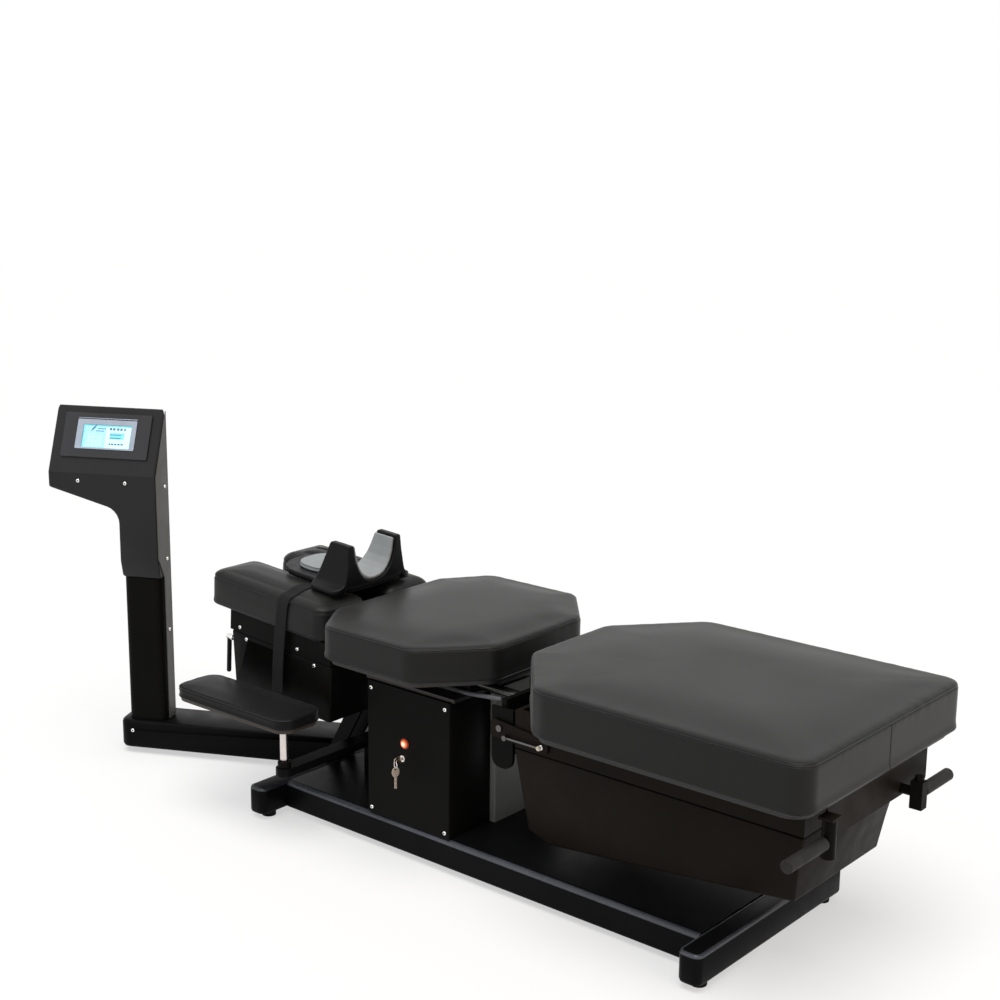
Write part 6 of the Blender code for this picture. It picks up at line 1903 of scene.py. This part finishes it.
@dataclass
class LumbarSection:
    """Frame, housing, board, cushion, brackets, lever and handles of the long section."""

    head: float = 0.424
    length: float = 0.8203
    half: float = 0.337
    head_edge: float = 0.139
    cut: float = 0.1665
    low: float = 0.4600
    side: float = 0.100
    crown: float = 0.018
    radii: tuple[float, ...] = (0.068, 0.068, 0.075, 0.048, 0.048, 0.075)
    reach: float = 0.2696
    bracket_y: float = -0.2018
    bracket_screw: Point2 = (0.512, 0.3795)
    bolt_shank: float = 0.0060
    bolt_head: float = 0.0086
    bolt_head_length: float = 0.0062
    bolt_overlap: float = 0.0002
    bolt_steps: tuple[Point2, ...] = ((0.0012, 0.0), (0.0005, -0.0006))
    grip_bevel: float = 0.00312
    grip_dome: Point2 = (0.30, 0.10)
    grip_hollow: Point2 = (0.06, -0.0008)
    knob_flat: float = 0.94
    knob_lift: float = 0.0006

    def build(self) -> None:
        """Make the section."""
        # The frame, housing and handle plate take the black coat whose brown tint is a painted
        # warm reflection.
        Shell("lumbar_frame", "black_paint", WARM_REFLECTION_COAT, 0.0012).build()
        Shell("lumbar_housing", "black_paint", WARM_REFLECTION_COAT, 0.0).build()
        Shell("lumbar_board", "board", BLACK_BOARD, 0.0012).build()
        Shell("handle_plate", "black_paint", WARM_REFLECTION_COAT, 0.0012).build()
        head, foot, wide = self.head, self.head + self.length, self.half
        corners = (
            (head, self.head_edge),
            (head, -self.head_edge),
            (head + self.cut, -wide),
            (foot, -wide),
            (foot, wide),
            (head + self.cut, wide),
        )
        sizes = (corners, self.radii, self.low, self.side, self.crown, self.reach)
        pad = Cushion("lumbar_pad", "lumbar_cushion", "lumbar", *sizes, TABLE, voxel=0.0095)
        pad.build()
        away = [(Vector(point[:2]) - Vector((foot, 0.0))).length for point in pad.seam()]
        pad.upright_seam(away.index(min(away)), "foot_face_seam")
        self.build_brackets()
        self.build_handles()

    def build_brackets(self) -> None:
        """Finish the pivot brackets, their bolts and the lock lever."""
        for side in Side:
            # The brackets take the same black coat with its painted warm reflection.
            Shell(f"{side.word}_pivot_bracket", "dark_steel", WARM_REFLECTION_COAT, 0.0012).build()
            self.build_bolt(side)
        x, z = self.bracket_screw
        place = facing(TABLE, (x, self.bracket_y, z), Side.NEAR.out)
        ButtonScrew(0.0062, 0.0036).row("bracket_screw", "lumbar", [place])
        Shell("lock_lever", "dark_steel", ROD_STEEL, 0.0005).build()
        centre, halves = Bench.middle("ball_knob")
        Bench.drop()
        bpy.ops.mesh.primitive_uv_sphere_add(segments=48, ring_count=28, radius=halves[2])
        knob = Bench.claim("ivory_ball")
        Bench.select_faces(knob, lambda normal: normal.z < -self.knob_flat)
        Bench.push(self.knob_lift)
        place = Matrix.Translation(centre) @ ALONG_X
        Bench.fit(knob, place, "lock", "ivory", IVORY, ("ball_knob",), 50.0)

    def build_bolt(self, side: Side) -> None:
        """Model one pivot bolt: a shank with a recessed hexagon head.

        Args:
            side: The bolt's side.
        """
        node = f"{side.word}_pivot_bolt"
        centre, (_, reach, _) = Bench.middle(node)
        low = reach - self.bolt_head_length
        bolt = Bench.turned(node + "_head", self.bolt_shank, -reach, low + self.bolt_overlap)
        head = Bench.turned("bolt_hexagon", self.bolt_head, low, reach, 6)
        Bench.cap(head, *self.bolt_steps)
        Bench.join(bolt, head, "UNION")
        Bench.round_edges(bolt, 0.0004, 2)
        place = facing(Matrix.Translation(centre), (0, 0, 0), side.out)
        Bench.fit(bolt, place, "lumbar", "steel", ROD_STEEL, (node,))

    def build_handles(self) -> None:
        """Finish the handle blocks and model both rubber grips."""
        Shell("near_handle", "black_paint", BLACK_COAT, 0.0012).build()
        Shell("far_handle", "black_paint", BLACK_COAT, 0.0014).build()
        for side in Side:
            node = f"{side.word}_grip"
            centre, (_, reach, radius) = Bench.middle(node)
            grip = Bench.turned(f"{side.word}_rubber_grip", radius, -reach, reach)
            dome = tuple(radius * share for share in self.grip_dome)
            Bench.cap(grip, dome, (radius * self.grip_hollow[0], self.grip_hollow[1]))
            Bench.select_faces(grip, lambda normal: abs(normal.z) < 0.1)
            bpy.ops.mesh.subdivide(number_cuts=1)
            Bench.round_edges(grip, self.grip_bevel, 5, 30.0)
            place = facing(Matrix.Translation(centre), (0, 0, 0), side.out)
            body = f"{side.word}_handle_unit"
            Bench.fit(grip, place, body, "rubber", GRIP_RUBBER, (node,), 45.0)


@dataclass
class HeadUnit:
    """Head frame, housing, cushions, strap, release rod, headpiece and liner."""

    cushion_head: float = -0.4100
    cushion_foot: float = 0.0158
    inner: float = 0.037
    outer: float = 0.202
    low: float = 0.1689
    side: float = 0.0728
    crown: float = 0.0250
    radius: float = 0.038
    wide: float = 0.190
    housing_screws: tuple[Point2, ...] = ((-0.2671, 0.102), (-0.0184, 0.102))
    frame_screws: tuple[Point2, ...] = ((-0.2927, 0.128), (-0.0800, 0.128))
    strap_x: float = -0.1285
    strap_width: float = 0.038
    strap_thickness: float = 0.0021
    strap_inner: float = 0.052
    strap_low: float = -0.010
    strap_sway: float = 0.0050
    strap_cup: float = 0.0016
    strap_proud: float = 0.0003
    strap_slack: float = 0.0004
    strap_waves: float = 0.9
    strap_columns: int = 8
    shoulder_in: float = 0.016
    shoulder_fall: Point2 = (0.0185, 0.030)
    rod_radius: float = 0.0060
    rod_length: float = 0.098
    rod_spot: Point3 = (-0.3427, -0.182, 0.088)
    bolt_radius: float = 0.0078
    bolt_span: Point2 = (-0.0062, 0.0150)
    bolt_ring: float = 0.0036
    bolt_stub: float = 0.0130
    saddle_voxel: float = 0.0019
    liner_voxel: float = 0.0013
    saddle_z: Point2 = (0.2807, 0.3900)
    saddle_x: float = -0.050
    saddle_inner: float = 0.078
    saddle_wall: float = 0.03
    saddle_waist: float = -0.12
    saddle_peak: float = 0.75
    wing_round: float = 0.015
    wing_round_depth: float = 0.030
    wing_lean: float = 0.09
    wing_edge: float = 0.45
    rim_level: float = 0.335
    rim_stretch: float = 0.45
    rim_lean: float = 0.15
    roll: float = 0.032
    far_side: float = 0.0640
    far_crown: float = 0.0410
    far_roll: float = 0.048
    pad_x: Point2 = (-0.242, -0.122)
    pad_half: float = 0.064
    pad_low: float = 0.2846

    def build(self) -> None:
        """Make the head unit."""
        Shell("head_housing", "black_paint", BLACK_COAT, 0.0).build()
        Shell("head_frame", "black_paint", BLACK_COAT, 0.0010).build()
        spots = self.housing_screws + self.frame_screws
        for side in Side:
            places = [facing(HEAD, (x, side.value * self.wide, z), side.out) for x, z in spots]
            ButtonScrew().row(f"{side.word}_head_screws", "head", places)
        for side in Side:
            self.build_cushion(side)
        self.build_strap()
        self.build_release()
        self.build_saddle()

    def build_cushion(self, side: Side) -> None:
        """Make one head cushion.

        Args:
            side: The cushion's side.
        """
        corners = rectangle(
            (self.cushion_head, self.cushion_foot), side.span(self.inner, self.outer)
        )
        near = side is Side.NEAR
        wall, crown, roll = self.far_side, self.far_crown, self.far_roll
        if near:
            wall, crown, roll = self.side, self.crown, self.roll
        piece = Cushion(
            f"{side.word}_head_pad", f"{side.word}_head_cushion", "head", corners, self.radius,
            self.low, wall, crown, (self.outer - self.inner) / 2, HEAD, voxel=0.0065,
            spacing=0.0060, swell=0.0025, crown_rings=10, roll=roll, lift=0.72,
        ).build()
        if near:
            self.near = piece

    def strap_line(self) -> list[Vector]:
        """Follow the near cushion's surface from the saddle down its side.

        Returns:
            The strap's centre line in the head frame, with 0 for X.
        """
        inverse = HEAD.inverted()
        data = self.near.data
        points = [inverse @ vert.co for vert in data.vertices]
        tree = BVHTree.FromPolygons(points, [tuple(face.vertices) for face in data.polygons])
        proud = self.strap_thickness / 2 + self.strap_proud
        line = []
        steps = 16
        shoulder = self.outer - self.shoulder_in
        for step in range(steps + 1):
            y = -self.strap_inner - (shoulder - self.strap_inner) * step / steps
            hit = tree.ray_cast(Vector((self.strap_x, y, 0.40)), Vector((0, 0, -1)))[0]
            line.append(Vector((0.0, y, hit.z + proud)))
        top = line[-1].z
        steps = 12
        out, fall = self.shoulder_fall
        for step in range(1, steps + 1):
            turn = math.pi / 2 * step / steps
            y = -shoulder - out * math.sin(turn)
            z = top - fall * (1 - math.cos(turn))
            hit = tree.ray_cast(Vector((self.strap_x, -0.30, z)), Vector((0, 1, 0)))[0]
            if hit is not None:
                y = min(y, hit.y - proud)
            line.append(Vector((0.0, y, z)))
        y = min(line[-1].y, -self.outer - proud) - self.strap_slack
        last = line[-1].z
        steps = 24
        for step in range(1, steps + 1):
            line.append(Vector((0.0, y, last + (self.strap_low - last) * (step / steps))))
        return line

    def build_strap(self) -> None:
        """Model the webbing strap."""
        line = self.strap_line()
        travel = travelled(line)
        shares = [column / self.strap_columns for column in range(self.strap_columns + 1)]
        marks = [share * self.strap_width for share in shares]
        sheet = Sheet()
        for index, place in enumerate(line):
            ahead = heading(line, index)
            out = Vector((0.0, ahead.z, -ahead.y)) * -1
            turn = math.tau * (travel[index] / travel[-1]) * self.strap_waves
            sway = self.strap_sway * math.sin(turn)
            spots = []
            for across in (share - 0.5 for share in shares):
                spot = place + out * ((0.25 - across * across) * self.strap_cup)
                spot.x = self.strap_x + sway + across * self.strap_width
                spots.append(spot)
            sheet.add_row(spots, marks, travel[index])
        sheet.fill()
        piece = sheet.finish("webbing_strap")
        Bench.apply(piece, "SOLIDIFY", thickness=self.strap_thickness, offset=0.0, use_rim=True)
        Bench.round_edges(piece, 0.0006, 2)
        Bench.fit(piece, HEAD, "head", "webbing", WEBBING, ("head_strap",), 50.0)

    def build_release(self) -> None:
        """Model the hanging release rod and the chrome bolt it hangs from."""
        place = HEAD @ Matrix.Translation(self.rod_spot)
        rod = Bench.turned("release_rod", self.rod_radius, -self.rod_length, 0.0)
        Bench.round_edges(rod, self.rod_radius * 0.8, 6, 60.0)
        Bench.fit(rod, place, "release", "black_paint", SMALL_PLASTIC, ("release_lever",), 60.0)
        bolt = Bench.turned("release_bolt", self.bolt_radius, *self.bolt_span, 6)
        Bench.select_faces(bolt, lambda normal: normal.z > 0.9)
        # The second ring has no width: it parts the stub from the head.
        for width in (self.bolt_ring, 0.0):
            bpy.ops.mesh.inset(thickness=width, depth=0.0)
        Bench.push(self.bolt_stub)
        Bench.round_edges(bolt, 0.0007, 2, 50.0)
        Bench.fit(bolt, place @ ALONG_X, "release", "chrome", CHROME)

    def waist(self, piece: Piece, outer: float) -> None:
        """Sweep a moulding's wings in above its flange.

        Args:
            piece: The headpiece or its liner, in the part's frame.
            outer: How much the outer walls lean in, as a share.
        """
        inverse = HEAD.inverted()
        low, high = self.saddle_z
        for vert in piece.data.vertices:
            spot = inverse @ vert.co
            share = (spot.z - low) / (high - low)
            if share <= 0:
                continue
            sweep = share / self.saddle_peak * math.exp(1 - share / self.saddle_peak)
            spot.x = self.saddle_x + (spot.x - self.saddle_x) * (1 - self.saddle_waist * sweep)
            beyond = min(1.0, max(0.0, (abs(spot.y) - self.saddle_inner) / self.saddle_wall))
            spot.y *= 1 - outer * sweep * beyond * beyond * (3 - 2 * beyond)
            vert.co = HEAD @ spot

    def raise_rims(self, liner: Piece) -> None:
        """Draw the liner's two ends up along the wings.

        Args:
            liner: The liner, in the part's frame.
        """
        inverse = HEAD.inverted()
        for vert in liner.data.vertices:
            spot = inverse @ vert.co
            gain = max(0.0, spot.z - self.rim_level) * self.rim_stretch
            spot.z += gain
            spot.y += math.copysign(gain * self.rim_lean, spot.y)
            vert.co = HEAD @ spot

    def round_wings(self, shell: Piece) -> None:
        """Round the upper edges of the wings.

        Args:
            shell: The headpiece, in the part's frame.
        """
        inverse = HEAD.inverted()
        level = self.saddle_z[1] - self.wing_round_depth
        Bench.pick(shell)
        bpy.ops.object.mode_set(mode="EDIT")
        bpy.ops.mesh.select_mode(type="EDGE")
        bpy.ops.mesh.select_all(action="DESELECT")
        mesh = bmesh.from_edit_mesh(shell.data)
        for edge in mesh.edges:
            high = all((inverse @ vert.co).z > level for vert in edge.verts)
            if high and edge.is_manifold and edge.calc_face_angle() > self.wing_edge:
                edge.select = True
        bmesh.update_edit_mesh(shell.data)
        bpy.ops.mesh.bevel(offset=self.wing_round, segments=5, affect="EDGES", clamp_overlap=True)
        bpy.ops.object.mode_set(mode="OBJECT")

    def build_saddle(self) -> None:
        """Mould the headpiece and its foam liner and pad."""
        shell = Bench.solid_copy("headpiece", "_moulding")
        self.round_wings(shell)
        Bench.mould(shell, self.saddle_voxel, 14)
        self.waist(shell, self.wing_lean)
        Bench.soften(shell)
        Bench.dress(shell, "neck_saddle", "black_plastic", HEADPIECE_PLASTIC, ("headpiece",))
        liner = Bench.solid_copy("headpiece_liner", "_foam")
        Bench.mould(liner, self.liner_voxel, 8)
        self.raise_rims(liner)
        self.waist(liner, 0.0)
        Bench.soften(liner)
        Bench.dress(liner, "neck_saddle", "grey_foam", LINER_FOAM, ("headpiece_liner",))
        half = self.pad_half
        Cushion(
            "head_rest_pad", "head_pad", "neck_saddle", rectangle(self.pad_x, (-half, half)),
            0.050, self.pad_low, 0.0085, 0.0080, half * 0.8, HEAD, LINER_FOAM, "grey_foam",
            roll=0.008, pinch=0.0006, edge=0.0020, swell=0.0008, voxel=0.0035, spacing=0.0045,
            groove=0.0009, groove_half=0.0012, welt=0.0006, fill=0.9, crown_rings=8,
        ).build()


@dataclass
class ArmSupports:
    """Both swivelling arm supports."""

    head: float = -0.550
    foot: float = -0.137
    inner: float = 0.227
    outer: float = 0.366
    low: float = 0.2941
    side: float = 0.024
    crown: float = 0.007
    radius: float = 0.040
    post_x: float = -0.185
    post_y: float = 0.322
    post_low: float = 0.1853
    plate_low: float = 0.2838
    post_radius: float = 0.010
    post_gap: float = 0.0004
    socket: Point2 = (0.0165, 0.0150)
    flange: Point2 = (0.0170, 0.0040)
    collar_bevel: float = 0.0011

    def build(self) -> None:
        """Make both supports."""
        for side in Side:
            self.build_one(side)

    def build_one(self, side: Side) -> None:
        """Make one support: board, steel post, collars and pad.

        Args:
            side: The support's side.
        """
        body = f"{side.word}_arm"
        node = f"{side.word}_arm_support"
        board = Bench.solid_copy(node)
        Bench.round_edges(board, 0.0012, 2)
        Bench.smooth(board)
        board.data.materials.append(STAINED_BOARD.material())
        Bench.paint(board, POST_STEEL, lambda face: face.center.z < self.plate_low - 0.0004)
        Bench.dress(board, body, "board", STAINED_BOARD, (node,))
        spot = TABLE @ Vector((self.post_x, side.value * self.post_y, 0.0))
        for name, rides, (radius, length), low in (
            ("post_socket", "base", self.socket, self.post_low),
            ("post_flange", body, self.flange, self.plate_low - self.flange[1]),
        ):
            Bench.drop()
            bpy.ops.mesh.primitive_cylinder_add(
                vertices=ROUND, radius=radius, depth=length, end_fill_type="NOTHING"
            )
            bpy.context.object.location = (spot.x, spot.y, low + length / 2)
            collar = Bench.claim(f"{side.word}_{name}")
            thick = radius - self.post_radius - self.post_gap
            Bench.apply(collar, "SOLIDIFY", thickness=thick, offset=-1.0, use_rim=True)
            Bench.outward(collar)
            Bench.round_edges(collar, self.collar_bevel)
            Bench.smooth(collar)
            Bench.dress(collar, rides, "black_paint", BLACK_COAT)
        corners = rectangle((self.head, self.foot), side.span(self.inner, self.outer))
        Cushion(
            f"{side.word}_arm_rest_pad", f"{side.word}_arm_pad", body, corners, self.radius,
            self.low, self.side, self.crown, (self.outer - self.inner) / 2 * 0.8, TABLE,
            PAD_VINYL, roll=0.008, pinch=0.0010, edge=0.0030, swell=0.0015, voxel=0.0060,
            spacing=0.0060, groove=0.0010, groove_half=0.0016, welt=0.0008, crown_rings=9,
        ).build()


@dataclass
class Studio:
    """White sweep, soft lamps and the camera."""

    position: Point3 = (2.6569, -2.9043, 1.7194)
    yaw: float = 40.0212
    pitch: float = 12.8138
    roll: float = 0.5894
    focal: float = 60.15
    sensor: float = 36.0
    floor_half: float = 14.0
    floor_colour: Colour = (0.90, 0.90, 0.90)
    floor_lift: float = 0.55
    world_light: float = 0.36
    sun_strength: float = 2.5
    sun_angle: float = 48.0
    sun_way: Point3 = (-0.12, 0.24, -1.0)
    sun_colour: Colour = (1.0, 0.99, 0.97)

    def build(self) -> None:
        """Set up floor, world, lamps and camera."""
        self.build_camera()
        self.build_world()
        self.build_floor()
        self.sun()
        self.lamp("camera_side", (-1.6, -3.4, 1.9), (0.0, 0.0, 0.4), 1.6, 10.0, (0.84, 0.91, 1.0))
        self.lamp("foot_side", (3.6, -0.6, 1.5), (0.9, 0.0, 0.4), 1.4, 16.0, (1.0, 0.70, 0.46))

    def sun(self) -> None:
        """Light the object from overhead with a broad, soft sun."""
        data = bpy.data.lights.new("overhead", "SUN")
        data.energy = self.sun_strength
        data.angle = math.radians(self.sun_angle)
        data.color = self.sun_colour
        lamp = Bench.link("overhead", data)
        lamp.rotation_euler = Vector(self.sun_way).to_track_quat("-Z", "Y").to_euler()

    def build_camera(self) -> None:
        """Place the camera where the photograph was taken from."""
        yaw, pitch, roll = (math.radians(turn) for turn in (self.yaw, self.pitch, self.roll))
        level = math.cos(pitch)
        ahead = Vector((-math.sin(yaw) * level, math.cos(yaw) * level, -math.sin(pitch)))
        right = Vector((math.cos(yaw), math.sin(yaw), 0.0))
        up = right.cross(ahead)
        across = right * math.cos(roll) + up * math.sin(roll)
        upward = up * math.cos(roll) - right * math.sin(roll)
        data = bpy.data.cameras.new("camera")
        data.lens = self.focal
        data.sensor_width = self.sensor
        data.clip_end = 60.0
        camera = Bench.link("camera", data)
        turn = Matrix((across, upward, -ahead)).transposed().to_4x4()
        camera.matrix_world = Matrix.Translation(Vector(self.position) - ORIGIN) @ turn
        bpy.context.scene.camera = camera

    @staticmethod
    def seen(nodes: Nodes) -> Socket:
        """Give 1 for camera, glossy and transmission rays.

        Args:
            nodes: The nodes that it is added to.

        Returns:
            The output.
        """
        rays = nodes.add("LightPath").outputs
        total = rays["Is Camera Ray"]
        for name in ("Is Glossy Ray", "Is Transmission Ray"):
            total = nodes.sums(total, rays[name], "MAXIMUM")
        return total

    def build_world(self) -> None:
        """White where it is seen, and a soft grey light elsewhere."""
        world = bpy.data.worlds.new("studio")
        world.use_nodes = True
        nodes = Nodes(world.node_tree)
        inputs = {"Value": self.seen(nodes), "To Min": self.world_light, "To Max": 1.0}
        strength = nodes.add("MapRange", inputs).outputs["Result"]
        ground = nodes.tree.nodes["Background"]
        ground.inputs["Color"].default_value = (1.0, 1.0, 1.0, 1.0)
        nodes.tree.links.new(strength, ground.inputs["Strength"])
        bpy.context.scene.world = world

    def build_floor(self) -> None:
        """Lay the pale floor."""
        Bench.drop()
        bpy.ops.mesh.primitive_plane_add(size=self.floor_half * 2)
        floor = Bench.claim("floor")
        graph = Graph("pale_floor")
        graph.set(Base_Color=(*self.floor_colour, 1.0), Roughness=0.9, Specular_IOR_Level=0.1)
        light = graph.add("Emission", {"Color": (1.0, 1.0, 1.0, 1.0)})
        share = graph.sums(self.seen(graph), self.floor_lift, "MULTIPLY")
        mix = graph.add("MixShader", {"Fac": share})
        surface = graph.tree.nodes["Material Output"].inputs["Surface"]
        for output, socket in (
            (graph.shader.outputs[0], mix.inputs[1]),
            (light.outputs[0], mix.inputs[2]),
            (mix.outputs[0], surface),
        ):
            graph.tree.links.new(output, socket)
        floor.data.materials.append(graph.material)

    @staticmethod
    def lamp(
        name: str, place: Point3, aim: Point3, size: float, power: float, colour: Colour
    ) -> None:
        """Hang a soft square lamp.

        Args:
            name: Its name.
            place: Where it hangs.
            aim: What it points at.
            size: Its side in metres.
            power: Its power in watts.
            colour: Its colour.
        """
        data = bpy.data.lights.new(name, "AREA")
        data.shape = "SQUARE"
        data.size = size
        data.energy = power
        data.color = colour
        lamp = Bench.link(name, data)
        lamp.location = place
        lamp.rotation_euler = (Vector(aim) - Vector(place)).to_track_quat("-Z", "Y").to_euler()


def main() -> None:
    """Build the looks, piece by piece."""
    logging.basicConfig(level=logging.INFO, format="%(name)s: %(message)s")
    bpy.context.scene.view_settings.view_transform = "Standard"
    for assembly in (
        Studio(),
        FloorFrame(),
        ConsoleTower(),
        Pedestal(),
        PullCarriage(),
        ThoracicSection(),
        LumbarSection(),
        HeadUnit(),
        ArmSupports(),
    ):
        LOG.info("building %s", type(assembly).__name__)
        assembly.build()
    Bench.drop()


if __name__ == "__main__":
    main()
